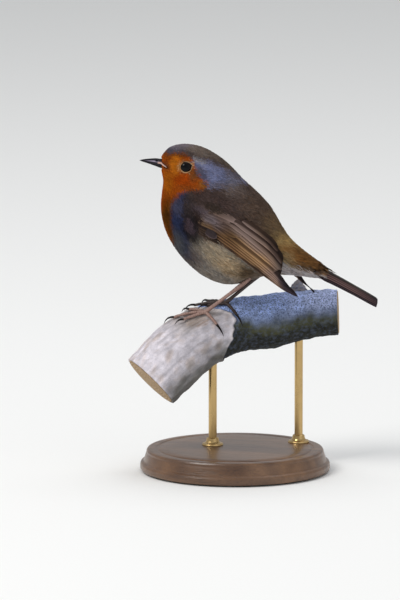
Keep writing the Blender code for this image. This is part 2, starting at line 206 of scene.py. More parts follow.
def on_side(side: Side, points: Array) -> Array:
    """Points of the straight head's right half, on either side of the head as the bird holds it."""
    return turn_head(np.array(points) * (1, side.value, 1))


def straighten(points: Array) -> Array:
    """Points of the posed bird, brought back to where they lie with its head straight."""
    return turn_about(points, NECK_PIVOT[0], -HEAD_TURN * read(NECK_SHARES, points @ NECK_AXIS))


# --- Materials ---


class Recipe:
    """A material in the making: one Principled shader and the nodes that feed it."""

    def __init__(self, name: str) -> None:
        """Starts a material of that name."""
        self.material = bpy.data.materials.new(name)
        self.material.use_nodes = True
        self.tree = self.material.node_tree
        self.shader = next(n for n in self.tree.nodes if n.type == "BSDF_PRINCIPLED")

    def plug(self, socket: Socket, value: object) -> None:
        """Links a socket to another node's output, or sets it."""
        if isinstance(value, Socket):
            self.tree.links.new(value, socket)
        else:
            socket.default_value = (*value, 1) if socket.type == "RGBA" else value

    def add(self, kind: str, inputs: dict, **settings: object) -> bpy.types.Node:
        """Adds a node.

        Args:
            kind: The node's Blender type, without its ShaderNode prefix.
            inputs: What each socket takes, a value or another node's output socket.
            settings: Properties of the node itself.

        Returns:
            The new node.
        """
        node = self.tree.nodes.new("ShaderNode" + kind)
        for key, value in settings.items():
            setattr(node, key, value)
        for key, value in inputs.items():
            self.plug(node.inputs[key], value)
        return node

    def dress(self, colour: Socket, relief: Socket | None = None, **values: float) -> None:
        """Feeds the shader.

        Args:
            colour: Its colour.
            relief: Its normal, if it has a relief.
            values: Its own sockets' values; a name's underscores stand for spaces.
        """
        self.plug(self.shader.inputs["Base Color"], colour)
        if relief:
            self.plug(self.shader.inputs["Normal"], relief)
        for key, value in values.items():
            self.plug(self.shader.inputs[key.replace("_", " ")], value)

    def place(self, *scale: float) -> Socket:
        """Object coordinates in metres, scaled along each axis if a scale is given."""
        return self.scaled(self.add("TexCoord", {}).outputs["Object"], scale)

    def pattern(self, *scale: float) -> Socket:
        """The piece's own pattern map, scaled if a scale is given."""
        return self.scaled(self.add("UVMap", {}, uv_map=PATTERN_MAP).outputs["UV"], scale)

    def scaled(self, source: Socket, scale: Sequence[float]) -> Socket:
        """Coordinates scaled along each axis, where there is a scale."""
        return self.add("Mapping", {"Vector": source, "Scale": scale}).outputs["Vector"] if scale else source

    def paint(self) -> Socket:
        """The colour that the piece carries at each point."""
        return self.add("Attribute", {}, attribute_name="paint").outputs["Color"]

    def noise(self, source: Socket, scale: float = 1, detail: float = 3) -> Socket:
        """A soft noise between 0 and 1."""
        return self.add("TexNoise", {"Vector": source, "Scale": scale, "Detail": detail}).outputs["Fac"]

    def span(self, source: Socket, first: tuple[float, float], second: tuple[float, float] = (0, 1)) -> Socket:
        """A value brought from one range, as (low, high), to another, and clamped there."""
        inputs = dict(zip(("From Min", "From Max", "To Min", "To Max"), (*first, *second)))
        return self.add("MapRange", {"Value": source, **inputs}).outputs["Result"]

    def drift(self, noise: Socket, low: float, high: float) -> Socket:
        """A noise as a factor between low and high."""
        return self.span(noise, (0.3, 0.7), (low, high))

    def math(self, operation: str, first: object, second: object = 0) -> Socket:
        """One step of arithmetic on values or sockets."""
        return self.add("Math", {0: first, 1: second}, operation=operation).outputs[0]

    def times(self, first: object, second: object) -> Socket:
        """Two values or sockets multiplied."""
        return self.math("MULTIPLY", first, second)

    def wave(self, run: Socket) -> Socket:
        """A wave between 0 and 1 that comes back with each whole number."""
        return self.span(self.math("SINE", self.times(run, math.tau)), (-1, 1))

    def mix(self, share: object, first: object, second: object, blend: str = "MIX") -> Socket:
        """Two colours mixed by a share from 0 to 1."""
        node = self.add("Mix", {}, data_type="RGBA", blend_type=blend)
        sockets = [s for s in node.inputs if s.enabled]
        for socket, value in zip((sockets[0], sockets[-2], sockets[-1]), (share, first, second)):
            self.plug(socket, value)
        return next(s for s in node.outputs if s.enabled)

    def shade(self, colour: object, value: Socket) -> Socket:
        """A colour made lighter or darker by a value about 1."""
        grey = self.add("CombineColor", {0: value, 1: value, 2: value}).outputs[0]
        return self.mix(1, colour, grey, "MULTIPLY")

    def bump(self, height: Socket, depth: float, **under: Socket) -> Socket:
        """A relief from 0 to a depth in millimetres, which may lie on another as its Normal."""
        return self.add("Bump", {"Height": height, "Distance": depth * MM, **under}).outputs["Normal"]


@dataclass(frozen=True)
class Finish:
    """What all finishes share: a name, and a material that is made once."""

    name: str

    def material(self) -> bpy.types.Material:
        """The finish's material, made the first time that it is asked for."""
        known = bpy.data.materials.get(self.name)
        if known is not None:
            return known
        recipe = Recipe(self.name)
        self.cook(recipe)
        return recipe.material

    def cook(self, mix: Recipe) -> None:
        """Adds the finish's nodes."""
        raise NotImplementedError


@dataclass(frozen=True)
class PlumageFinish(Finish):
    """Soft barbs: the piece's own markings, broken up by a fine unevenness, with a faint bloom."""

    relief: float = 0

    def cook(self, mix: Recipe) -> None:
        """Adds the finish's nodes."""
        place = mix.place()
        colour = mix.shade(mix.paint(), mix.drift(mix.noise(place, 260), 0.86, 1.14))
        colour = mix.shade(colour, mix.drift(mix.noise(place, 1900, 2), 0.84, 1.16))
        relief = mix.bump(mix.noise(place, 2400, 2), self.relief) if self.relief else None
        mix.dress(colour, relief, Roughness=0.8, Specular_IOR_Level=0.06)


@dataclass(frozen=True)
class VaneFinish(Finish):
    """A feather's vane: its own colours, with barbs that run out and forward from the shaft."""

    barbs: float = 120
    slant: float = 20
    relief: float = 0.025

    def cook(self, mix: Recipe) -> None:
        """Adds the finish's nodes."""
        pattern = mix.add("SeparateXYZ", {"Vector": mix.pattern()}).outputs
        across = mix.math("ABSOLUTE", mix.math("SUBTRACT", pattern["X"], 0.5))
        wobble = mix.times(mix.noise(mix.place(), 700, 2), 1.2)
        run = mix.math("SUBTRACT", mix.times(pattern["Y"], self.barbs), mix.times(across, self.slant))
        barb = mix.wave(mix.math("ADD", run, wobble))
        streak = mix.drift(mix.noise(mix.pattern(26, 2.5, 1), 1, 2), 0.88, 1.12)
        tone = mix.times(mix.span(barb, (0, 1), (0.93, 1.05)), streak)
        mix.dress(mix.shade(mix.paint(), tone), mix.bump(barb, self.relief), Roughness=0.6, Specular_IOR_Level=0.12)


@dataclass(frozen=True)
class HornFinish(Finish):
    """The horn of a bill or a claw: its own colours, fine growth lines and a dull polish."""

    roughness: float = 0.34
    lines: float = 900

    def cook(self, mix: Recipe) -> None:
        """Adds the finish's nodes."""
        lines = mix.noise(mix.place(0.25, 1, 1), self.lines)
        colour = mix.shade(mix.paint(), mix.drift(lines, 0.85, 1.15))
        mix.dress(colour, mix.bump(lines, 0.03), Roughness=self.roughness, Specular_IOR_Level=0.1)


@dataclass(frozen=True)
class EyeFinish(Finish):
    """A dark wet eye: a deep brown iris round a black pupil, under a clear polished cornea."""

    def cook(self, mix: Recipe) -> None:
        """Adds the finish's nodes."""
        colour = mix.shade(mix.paint(), mix.drift(mix.noise(mix.place(), 1500), 0.7, 1.3))
        mix.dress(colour, Roughness=0.05, Specular_IOR_Level=0.1, Coat_Weight=0.02, Coat_Roughness=0.01)


@dataclass(frozen=True)
class BareSkinFinish(Finish):
    """Bare skin of lids and gape, and the scaly skin of shanks and toes."""

    roughness: float = 0.42
    grain: float = 1600

    def cook(self, mix: Recipe) -> None:
        """Adds the finish's nodes."""
        place = mix.place()
        pores = mix.add("TexVoronoi", {"Vector": place, "Scale": self.grain}).outputs["Distance"]
        colour = mix.shade(mix.paint(), mix.drift(mix.noise(place, 600), 0.86, 1.14))
        mix.dress(colour, mix.bump(pores, 0.05), Roughness=self.roughness, Specular_IOR_Level=0.4)


@dataclass(frozen=True)
class BarkFinish(Finish):
    """Smooth old bark: zones of its own colour, with fibres along it, flecks of alga and pale lenticels."""

    fleck: Colour = (0.04, 0.06, 0.12)
    moss: Colour = (0.2, 0.25, 0.38)

    def cook(self, mix: Recipe) -> None:
        """Adds the finish's nodes."""
        place = mix.place()
        fibres = mix.noise(mix.pattern(34, 9, 1), 1, 5)
        tone = mix.times(mix.span(fibres, (0.28, 0.72), (0.72, 1.25)), mix.drift(mix.noise(place, 330, 5), 0.8, 1.18))
        colour = mix.shade(mix.paint(), tone)
        speck = mix.add("Attribute", {}, attribute_name="tone").outputs["Fac"]
        flecks = mix.span(mix.noise(place, 1500, 4), (0.5, 0.58), (0, 0.85))
        colour = mix.mix(mix.times(flecks, speck), colour, self.fleck)
        algae = mix.span(mix.noise(place, 520, 4), (0.46, 0.66), (0, 0.6))
        colour = mix.mix(mix.times(algae, speck), colour, self.moss)
        relief = mix.bump(fibres, 0.35, Normal=mix.bump(mix.noise(place, 1500), 0.22))
        mix.dress(colour, relief, Roughness=0.85, Specular_IOR_Level=0.25)


@dataclass(frozen=True)
class SawnFinish(Finish):
    """The sawn end of a branch: growth rings, rays and a saw's faint marks."""

    light: Colour = (0.52, 0.38, 0.23)
    dark: Colour = (0.33, 0.21, 0.11)
    rings: float = 9

    def cook(self, mix: Recipe) -> None:
        """Adds the finish's nodes."""
        pattern = mix.add("SeparateXYZ", {"Vector": mix.pattern()}).outputs
        wobble = mix.times(mix.noise(mix.place(), 160), 0.9)
        ring = mix.wave(mix.math("ADD", mix.times(pattern["Y"], self.rings), wobble))
        rays = mix.drift(mix.noise(mix.pattern(60, 1.5, 1)), 0.85, 1.12)
        saw = mix.bump(mix.noise(mix.place(400, 400, 2600)), 0.12)
        mix.dress(mix.shade(mix.mix(ring, self.light, self.dark), rays), saw, Roughness=0.8, Specular_IOR_Level=0.25)


@dataclass(frozen=True)
class TurnedWoodFinish(Finish):
    """A turned and waxed hardwood base, with its grain across the disc."""

    light: Colour = (0.2, 0.1, 0.045)
    dark: Colour = (0.075, 0.032, 0.014)

    def cook(self, mix: Recipe) -> None:
        """Adds the finish's nodes."""
        figure = mix.drift(mix.noise(mix.place(12, 130, 130), 1, 6), 0, 1)
        pores = mix.noise(mix.place(110, 2600, 2600), 1, 2)
        colour = mix.shade(mix.mix(figure, self.dark, self.light), mix.span(pores, (0.35, 0.5), (0.72, 1.05)))
        mix.dress(colour, mix.bump(mix.span(pores, (0.3, 0.5)), 0.05), Roughness=0.36, Specular_IOR_Level=0.5,
                  Coat_Weight=0.35, Coat_Roughness=0.22)


@dataclass(frozen=True)
class FeltFinish(Finish):
    """The felt pad under the base."""

    colour: Colour = (0.035, 0.05, 0.04)

    def cook(self, mix: Recipe) -> None:
        """Adds the finish's nodes."""
        fuzz = mix.noise(mix.place(), 1500, 4)
        mix.dress(mix.shade(self.colour, mix.drift(fuzz, 0.7, 1.3)), mix.bump(fuzz, 0.3), Roughness=0.95,
                  Specular_IOR_Level=0.1, Sheen_Weight=0.3, Sheen_Roughness=0.5)


@dataclass(frozen=True)
class BrassFinish(Finish):
    """Drawn brass rod, with fine lines along it and a little tarnish."""

    colour: Colour = (0.62, 0.43, 0.19)

    def cook(self, mix: Recipe) -> None:
        """Adds the finish's nodes."""
        lines = mix.noise(mix.place(4000, 4000, 60), 1, 2)
        tarnish = mix.noise(mix.place(), 120, 4)
        mix.dress(mix.shade(self.colour, mix.drift(tarnish, 0.8, 1.05)), mix.bump(lines, 0.01),
                  Roughness=mix.drift(tarnish, 0.24, 0.4), Metallic=1)


@dataclass(frozen=True)
class BackdropFinish(Finish):
    """Plain pale paper under and behind the model."""

    colour: Colour = (0.9, 0.9, 0.89)

    def cook(self, mix: Recipe) -> None:
        """Adds the finish's nodes."""
        tooth = mix.drift(mix.noise(mix.place(), 900, 2), 0.99, 1.01)
        mix.dress(mix.shade(self.colour, tooth), Roughness=0.9, Specular_IOR_Level=0.1)


# --- Making meshes ---


def placed(name: str, data: bpy.types.ID, finish: Finish | None = None) -> Object:
    """A new object of the scene that shows a mesh, in a finish if one is given, or a light or camera."""
    if finish:
        data.materials.append(finish.material())
    piece = bpy.data.objects.new(name, data)
    bpy.context.scene.collection.objects.link(piece)
    return piece


def keep(piece: Object, replaced: Sequence[str] = ()) -> Object:
    """Hands a finished piece to the frame, and reports it.

    Args:
        piece: The piece, in place.
        replaced: The frame's nodes that it stands for.

    Returns:
        The piece.
    """
    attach(piece, "root")
    if replaced:
        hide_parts(*replaced)
    LOG.info("%s: %d faces", piece.name, len(piece.data.polygons))
    return piece


class Form:
    """One mesh in the making. Shapes are added in millimetres and leave together as an object."""

    def __init__(self, name: str) -> None:
        """Starts an empty form with a pattern map, a paint layer and a tone layer."""
        self.name = name
        self.bm = bmesh.new()
        self.uv = self.bm.loops.layers.uv.new(PATTERN_MAP)
        self.paint = self.bm.verts.layers.float_color.new("paint")
        self.tone = self.bm.verts.layers.float.new("tone")

    def sheet(self, around: int, along: int, place: Place, colour: Place | Colour, tone: Place | float = 0,
              closed: bool = True, capped: bool = True) -> None:
        """Adds a grid that is bent into a shape.

        Args:
            around: Faces across the grid, which runs round a closed shape.
            along: Faces up the grid.
            place: Gives the points of the shape at shares (u round it, v along it) from 0 to 1.
            colour: One colour, or what gives the colours at (u, v).
            tone: A number that the shape carries, or what gives it at (u, v).
            closed: Whether the grid's two sides meet.
            capped: Whether the ends that stay open get a flat cap.
        """
        made = bmesh.ops.create_grid(self.bm, x_segments=around, y_segments=along, size=1)["verts"]
        flat = np.array([vert.co[:2] for vert in made])
        shares = (flat - flat.min(axis=0)) / (flat.max(axis=0) - flat.min(axis=0))
        points = place(*shares.T)
        colours = np.broadcast_to(colour(*shares.T) if callable(colour) else colour, points.shape)
        tones = np.broadcast_to(tone(*shares.T) if callable(tone) else tone, len(made))
        spots = dict(zip(made, shares))
        for vert, point, tint, strength in zip(made, points, colours, tones):
            vert.co = Vector(point) * MM
            vert[self.paint] = (*tint, 1)
            vert[self.tone] = strength
        for face in {face for vert in made for face in vert.link_faces}:
            for loop in face.loops:
                loop[self.uv].uv = spots[loop.vert]
        if closed:
            bmesh.ops.remove_doubles(self.bm, verts=made, dist=WELD)
            rims = {edge for vert in made if vert.is_valid for edge in vert.link_edges if edge.is_boundary}
            if capped:
                bmesh.ops.holes_fill(self.bm, edges=list(rims))

    def tube(self, line: Array, radii: Sequence[float], colour: Place | Colour, around: int, along: int,
             swell: Place | None = None, tone: float = 0) -> None:
        """Adds a round rod that tapers along a smooth line.

        Args:
            line: The points that it runs through.
            radii: Its radius at each of them.
            colour: One colour, or what gives its colours at (u, v).
            around: Facets round it.
            along: Rings along it.
            swell: Gives a factor on its radius at (u, v), if any.
            tone: A number that it carries.
        """
        def place(u: Array, v: Array) -> Array:
            """Points round the line."""
            at = v * (len(line) - 1)
            ahead = unit(spline(line, at + 0.05) - spline(line, at - 0.05))
            side = unit(np.cross(ahead, np.array([0.02, 0.05, 1])))
            top = np.cross(side, ahead)
            radius = spline(np.array(radii)[:, None], at)
            if swell:
                radius = radius * swell(u, v)[:, None]
            angle = (u * math.tau)[:, None]
            return spline(line, at) + (top * np.cos(angle) + side * np.sin(angle)) * radius

        self.sheet(around, along, place, colour, tone)

    def leave(self, finish: Finish, slot: Slot, replaced: Sequence[str] = (), sharp: float = 40) -> Object:
        """Closes the form and keeps it as a piece.

        Args:
            finish: The finish that it wears.
            slot: The material slot that its finish belongs to; not used.
            replaced: The frame's nodes that it stands for.
            sharp: Edges that bend by more degrees than this stay crisp.

        Returns:
            The piece.
        """
        return keep(self.shown(finish, sharp), replaced)

    def shown(self, finish: Finish, sharp: float = 40) -> Object:
        """Closes the form and shows it in a finish, with the edges crisp that bend by more degrees than sharp."""
        bmesh.ops.recalc_face_normals(self.bm, faces=self.bm.faces)
        mesh = bpy.data.meshes.new(self.name)
        self.bm.to_mesh(mesh)
        self.bm.free()
        mesh.shade_smooth()
        mesh.set_sharp_from_angle(angle=math.radians(sharp))
        return placed(self.name, mesh, finish)


# --- The robin's markings ---


@dataclass(frozen=True)
class Blot:
    """A soft ellipsoid of colour, the same on both sides of the bird.

    Its centre is (forward-back, out from the middle, up). A negative tilt lowers its tail end in the side
    view, in degrees.
    """

    centre: Colour
    radii: Colour
    colour: Colour
    strength: float = 1
    soft: float = 0.35
    tilt: float = 0

    def share(self, points: Array) -> Array:
        """How much of the blot shows at each point of one half of the bird."""
        x, y, z = (points - np.array(self.centre)).T
        cos, sin = math.cos(math.radians(self.tilt)), math.sin(math.radians(self.tilt))
        level = stack(x * cos + z * sin, y, z * cos - x * sin)
        return self.strength * soft_step(1 + self.soft, 1 - self.soft, lengths(level / np.array(self.radii)))


def blots_from(*rows: Sequence[float]) -> tuple[Blot, ...]:
    """Blots from rows of centre, radii, colour, strength, softness and tilt."""
    return tuple(Blot(row[:3], row[3:6], row[6:9], *row[9:]) for row in rows)


@dataclass(frozen=True)
class Outline:
    """A closed outline in the side view, filled softly."""

    corners: Line

    def depth(self, points: Array) -> Array:
        """How far inside the outline each point lies, in millimetres; negative outside."""
        flat = points[:, [0, 2]]
        ring = np.array(self.corners)
        nearest = np.full(len(flat), np.inf)
        inside = np.zeros(len(flat), bool)
        for start, end in zip(ring, np.roll(ring, -1, axis=0)):
            edge = end - start
            away = flat - start
            share = np.clip(away @ edge / (edge @ edge), 0, 1)
            nearest = np.minimum(nearest, lengths(away - share[:, None] * edge))
            crosses = (start[1] > flat[:, 1]) != (end[1] > flat[:, 1])
            inside ^= crosses & (away[:, 0] < edge[0] * away[:, 1] / (edge[1] or 1))
        return np.where(inside, nearest, -nearest)


def overlaid(colour: Array | Colour, blots: Sequence[Blot], points: Array) -> Array:
    """Colours with blots laid over them in turn."""
    for blot in blots:
        colour = over(colour, blot.colour, blot.share(points))
    return colour


@dataclass(frozen=True)
class Markings:
    """The colours of the plumage, as formulas of place on the straight bird."""

    back: Colour = (0.062, 0.042, 0.036)
    under: Colour = (0.22, 0.19, 0.16)
    side_line: Line = ((-40, 152), (-26, 132), (-16, 117), (0, 113), (16, 110), (30, 106), (44, 100), (60, 91))
    blots: tuple[Blot, ...] = blots_from(
        # mantle, back and rump
        (-8, 14, 133, 14, 8, 4.5, 0.052, 0.034, 0.031, 0.9, 0.5, -28),
        (-2, 9, 142, 13, 10, 3.4, 0.112, 0.088, 0.082, 0.8, 0.6, -34),
        (14, 4, 128, 12, 12, 7, 0.088, 0.058, 0.042, 0.8, 0.5, -45),
        (23, 0, 119, 10, 14, 7, 0.13, 0.084, 0.045, 0.9, 0.5, -45),
        (28, 4, 112, 8, 13, 4.6, 0.27, 0.175, 0.068, 0.9, 0.5, -38),
        (31, 3, 107.6, 9, 10, 3, 0.21, 0.1, 0.034, 0.8, 0.5, -30),
        (28.5, 8, 105.8, 4.5, 6, 2.6, 0.25, 0.17, 0.082, 0.9, 0.6, -34),
        (39, 3, 104.4, 11, 8, 3.6, 0.135, 0.06, 0.017, 0.95, 0.5, -26),
        (49, 0, 101.5, 9, 9, 4, 0.12, 0.062, 0.028, 1, 0.5, -28),
        # belly, flanks and vent
        (-21, 7, 106, 11, 13, 10, 0.092, 0.075, 0.074, 0.95, 0.5, -50),
        (-3, 16, 107, 9.5, 9, 6, 0.34, 0.27, 0.185, 0.95, 0.5, -38),
        # painted shadow: the flank is darker just under the front of the wing's lower edge
        (-14.5, 16, 114, 4.5, 9, 4, 0.11, 0.095, 0.075, 0.7, 0.6, -38),
        (3.5, 13, 101, 8.5, 8, 4.5, 0.31, 0.22, 0.13, 0.85, 0.5, -34),
        (-9, 4, 97, 11, 10, 5.5, 0.25, 0.22, 0.19, 0.85, 0.5, -25),
        # painted shadow: dark brown under the rear of the wing's lower edge, over the flank
        (9.5, 10, 98.5, 5.5, 7, 4.2, 0.075, 0.048, 0.028, 0.9, 0.5, -20),
        (14, 3, 94.5, 9, 9, 5, 0.16, 0.125, 0.1, 0.7, 0.5),
        (36, 3, 98.4, 21, 10, 3.4, 0.42, 0.385, 0.39, 1, 0.3, -15),
        (37, 5, 102.2, 9, 7, 1.1, 0.07, 0.042, 0.022, 0.9, 0.6, -21),
        (33.5, 6, 99.4, 8, 7, 0.6, 0.15, 0.12, 0.12, 0.75, 0.6, -20),
        # blue-grey sides of the breast, the bend of the wing, and painted shadow between them
        (-25, 14, 121.5, 6.4, 9, 18.5, 0.02, 0.027, 0.068, 1, 0.3, 6),
        (-26, 9, 112, 7, 9, 6.5, 0.062, 0.063, 0.066, 0.85, 0.6),
        (-26.5, 12, 130.5, 3.2, 8, 5, 0.052, 0.052, 0.088, 0.8, 0.5, 20),
        # painted shadow: dark brown at the rear of the blue-grey band, in front of the bend of the wing
        (-19.5, 15, 127, 3.6, 7, 9, 0.04, 0.03, 0.03, 0.95, 0.4, 8),
        (-4, 17, 126, 10, 7, 1.9, 0.12, 0.09, 0.092, 0.85, 0.6, -19),
        (-14, 17, 129, 5, 6, 1.6, 0.062, 0.047, 0.056, 0.8, 0.6, -25),
        (-5.5, 16, 129.9, 7, 6, 1.4, 0.03, 0.022, 0.016, 0.75, 0.6, -22),
        (-12, 18, 123, 9.5, 7, 1.5, 0.024, 0.014, 0.012, 0.9, 0.5, -50),
        # painted shadow: a near-black rim round the pale bend of the wing, behind the breast feathers
        (-17.6, 15.5, 120.6, 4.8, 7, 7.6, 0.01, 0.008, 0.01, 0.92, 0.4, 24),
        (-18.3, 15.5, 121.4, 2.2, 6, 4.6, 0.052, 0.036, 0.044, 1, 0.3, 33),
        # crown and nape
        (-17, 0, 158.5, 15, 9, 6, 0.14, 0.108, 0.09, 1, 0.35, -14),
        (-29.5, 0, 156.4, 6.5, 8, 2.4, 0.066, 0.058, 0.08, 0.95, 0.5, -8),
        # partly painted highlight: the top of the front crown is paler, partly its own grey and partly painted light
        (-28.5, 2, 159, 6.5, 8, 1.9, 0.17, 0.145, 0.17, 0.85, 0.5, -4),
        (-18, 0, 161.5, 10, 5, 2.4, 0.095, 0.076, 0.066, 0.7, 0.5, -8),
        (-3, 0, 152, 12, 8, 5.5, 0.094, 0.07, 0.056, 1, 0.4, -38),
    )
    neck_outline: Outline = Outline((
        (-21.5, 153.6), (-14.5, 152), (-8.6, 149.4), (-2.2, 145.6), (5.5, 141.6), (1, 140.4), (-8, 139.4),
        (-12, 139.6), (-13, 141.6), (-18, 145), (-19.5, 148.5),
    ))
    neck: Colour = (0.155, 0.168, 0.285)
    neck_blots: tuple[Blot, ...] = blots_from(
        (-18.4, 8.5, 152.6, 4, 6, 1.3, 0.3, 0.275, 0.27, 0.9, 0.6, -22),
        (-16.8, 10.5, 147.2, 3.4, 6, 1.9, 0.075, 0.064, 0.08, 0.8, 0.6, -20),
        (-14.6, 11, 145, 3.4, 6, 2, 0.062, 0.06, 0.1, 0.8, 0.6, -34),
        (-4, 8, 140.4, 11, 8, 1.8, 0.105, 0.088, 0.1, 0.75, 0.6, -4),
        (1, 7, 142.5, 6, 8, 3, 0.125, 0.112, 0.125, 0.7, 0.6, -34),
    )
    bib_outline: Outline = Outline((
        (-44, 154.9), (-32.9, 155), (-28.6, 155.4), (-25.4, 155), (-22.4, 153.7), (-20.6, 151.4), (-19.6, 148.4),
        (-18.2, 145.8), (-15.2, 143.4), (-12.4, 141.4), (-12, 139.6), (-15, 138.6), (-20.5, 138.2), (-24.8, 137),
        (-27.6, 134.6), (-29.4, 131), (-29, 124), (-28.2, 117), (-28.8, 112), (-31.6, 107.5), (-44, 106),
    ))
    bib: Colour = (0.33, 0.062, 0.003)
    bib_blots: tuple[Blot, ...] = blots_from(
        # painted shade: the sides of the chest are a darker orange, where the breast turns away from the light
        (-31, 9.5, 118, 12, 8.5, 17, 0.078, 0.025, 0.0012, 1, 0.45),
        (-31, 0, 112, 12, 8, 12, 0.24, 0.058, 0.003, 0.6, 0.5),
        (-29.5, 5, 154.9, 7.5, 7, 2.7, 0.14, 0.034, 0.003, 0.95, 0.5),
        (-29.2, 8, 150.2, 2.7, 5, 4.2, 0.46, 0.135, 0.008, 0.95, 0.5),
        (-24, 9, 142.8, 5, 6, 3.4, 0.33, 0.05, 0.002, 0.9, 0.5),
        (-32, 4.5, 142, 3, 6, 6.5, 0.31, 0.085, 0.004, 0.85, 0.5),
        (-33.4, 4.5, 149.8, 2.3, 4, 2.2, 0.095, 0.03, 0.012, 0.85, 0.5, -10),
        (-19.4, 10, 145.4, 2.2, 5, 3.6, 0.14, 0.055, 0.016, 0.8, 0.6, -10),
        # painted shade: a darker orange along the lower edge of the cheek, above the neck
        (-20.5, 11, 139, 8, 6, 1.5, 0.18, 0.045, 0.007, 0.75, 0.5),
        (-14.2, 12.5, 141, 3, 5, 1.7, 0.22, 0.09, 0.02, 0.85, 0.5, -25),
    )
    ring: Colour = (0.58, 0.39, 0.2)

    def colours(self, points: Array) -> Array:
        """The plumage's colours.

        Args:
            points: Places on the posed bird, in millimetres.

        Returns:
            Rows of red, green and blue.
        """
        straight = straighten(points)
        half = straight.copy()
        half[:, 1] = np.abs(half[:, 1])
        x, _, z = half.T
        drift, ragged = Grain(9, 11)(straight), Grain(2.2, 12)(straight)
        strayed = half + stack(0.6 * ragged, 0, 0.6 * drift)
        colour = over(self.back, self.under, soft_step(2.5, -2.5, z - read(self.side_line, x) + 1.2 * drift))
        colour = overlaid(colour, self.blots, strayed)
        inside = soft_step(-1.4, 1.4, self.neck_outline.depth(half) + 0.6 * ragged)
        colour = over(colour, overlaid(self.neck, self.neck_blots, strayed), inside)
        softness = 0.7 + soft_step(140, 134, z)
        inside = soft_step(-1, 1, (self.bib_outline.depth(half) + 0.5 * ragged) / softness)
        colour = over(colour, overlaid(self.bib, self.bib_blots, strayed), inside)
        away = half - EYE_CENTRE
        rear = 0.55 + 0.45 * soft_step(-2.5, 2, away[:, 0] - 0.4 * away[:, 2])
        return over(colour, self.ring, rear * soft_step(4.5, 3.6, lengths(away / (1.1, 1.15, 0.86))))


# --- Skin and coat ---


@dataclass(frozen=True)
class Lie:
    """Which way the plumage lies, and how long, broad and deep it is, at each place."""

    source: Colour = (-33, -8.6, 149.6)
    sink: Colour = (70, 7.2, 85.8)
    radial_reach: float = 26
    eye_reach: float = 2.2
    distances: tuple[float, ...] = (0, 5, 10, 18, 30, 50, 80, 105)
    lengths: tuple[float, ...] = (1, 1.2, 1.7, 2.4, 3.4, 4.8, 5.8, 7)
    widths: tuple[float, ...] = (0.26, 0.3, 0.36, 0.42, 0.5, 0.62, 0.72, 0.8)
    depths: tuple[float, ...] = (0.3, 0.5, 0.75, 1, 1.25, 1.5, 1.5, 1.2)
    legs: tuple[tuple[Colour, Colour], ...] = (  # knee, ankle
        ((0.5, -7, 101.5), (6.9, -7, 93.2)), ((7.2, 7, 104), (12.6, 7.6, 97.4)),
    )
    leg_reach: float = 5
    foot_reach: float = 14

    def near_leg(self, points: Array) -> Array:
        """1 on the feathered legs and 0 away from them."""
        nearest = np.full(len(points), np.inf)
        for start, end in np.array(self.legs):
            away, run = points - start, end - start
            share = np.clip(away @ run / (run @ run), 0.25, 1.2)
            nearest = np.minimum(nearest, lengths(away - share[:, None] * run))
        return soft_step(self.leg_reach, 0.6 * self.leg_reach, nearest)

    def grade(self, points: Array, sizes: tuple[float, ...], on_leg: float, by_eye: float = 1) -> Array:
        """One of the plumage's sizes at each point.

        Args:
            points: Places on the skin.
            sizes: The size at each of the distances from the bill.
            on_leg: Its value on the legs.
            by_eye: How much of it is left beside the eyes.

        Returns:
            The sizes in millimetres.
        """
        size = np.interp(lengths(points - np.array(self.source)), self.distances, sizes)
        leg = self.near_leg(points)
        size = size * (1 - leg) + on_leg * leg
        return size * (by_eye + (1 - by_eye) * soft_step(3, 6, self.eye_distance(points)))

    def length(self, points: Array) -> Array:
        """How long a lock is, in millimetres."""
        return self.grade(points, self.lengths, 3, 0.62)

    def width(self, points: Array) -> Array:
        """How broad a lock is, in millimetres."""
        return self.grade(points, self.widths, 0.42)

    def depth(self, points: Array) -> Array:
        """How deep the coat is, in millimetres."""
        return self.grade(points, self.depths, 0.8, 0.6)

    def eye_distance(self, points: Array) -> Array:
        """How far each point is from the middle of the nearer eye."""
        return np.min([lengths(points - on_side(side, EYE_CENTRE)) for side in Side], axis=0)

    def ways(self, points: Array, normals: Array) -> Array:
        """Unit directions of the lie, along the skin.

        Args:
            points: Places on the skin.
            normals: The skin's normals there.

        Returns:
            Rows of x, y, z.
        """
        out = points - np.array(self.source)
        near = np.exp(-lengths(out) / self.radial_reach)[:, None]
        way = unit(out) * near * 2 + unit(np.array(self.sink) - points) * (1 - near)
        for side in Side:
            away = points - on_side(side, EYE_CENTRE)
            past = np.maximum(lengths(away) - EYE_RADIUS, 0)[:, None]
            way = way + 3 * unit(away) * np.exp(-past / self.eye_reach)
        for knee, ankle in np.array(self.legs):
            share = (self.near_leg(points) * (lengths(points - ankle) < self.foot_reach))[:, None]
            way = way * (1 - share) + unit(ankle - knee) * share
        return unit(way - normals * (way * normals).sum(axis=1, keepdims=True))


def numbers(items: bpy.types.bpy_prop_collection, name: str, kind: type = float) -> Array:
    """A property of three numbers of each of a mesh's items, as rows."""
    rows = np.empty(len(items) * 3, kind)
    items.foreach_get(name, rows)
    return rows.reshape(-1, 3)


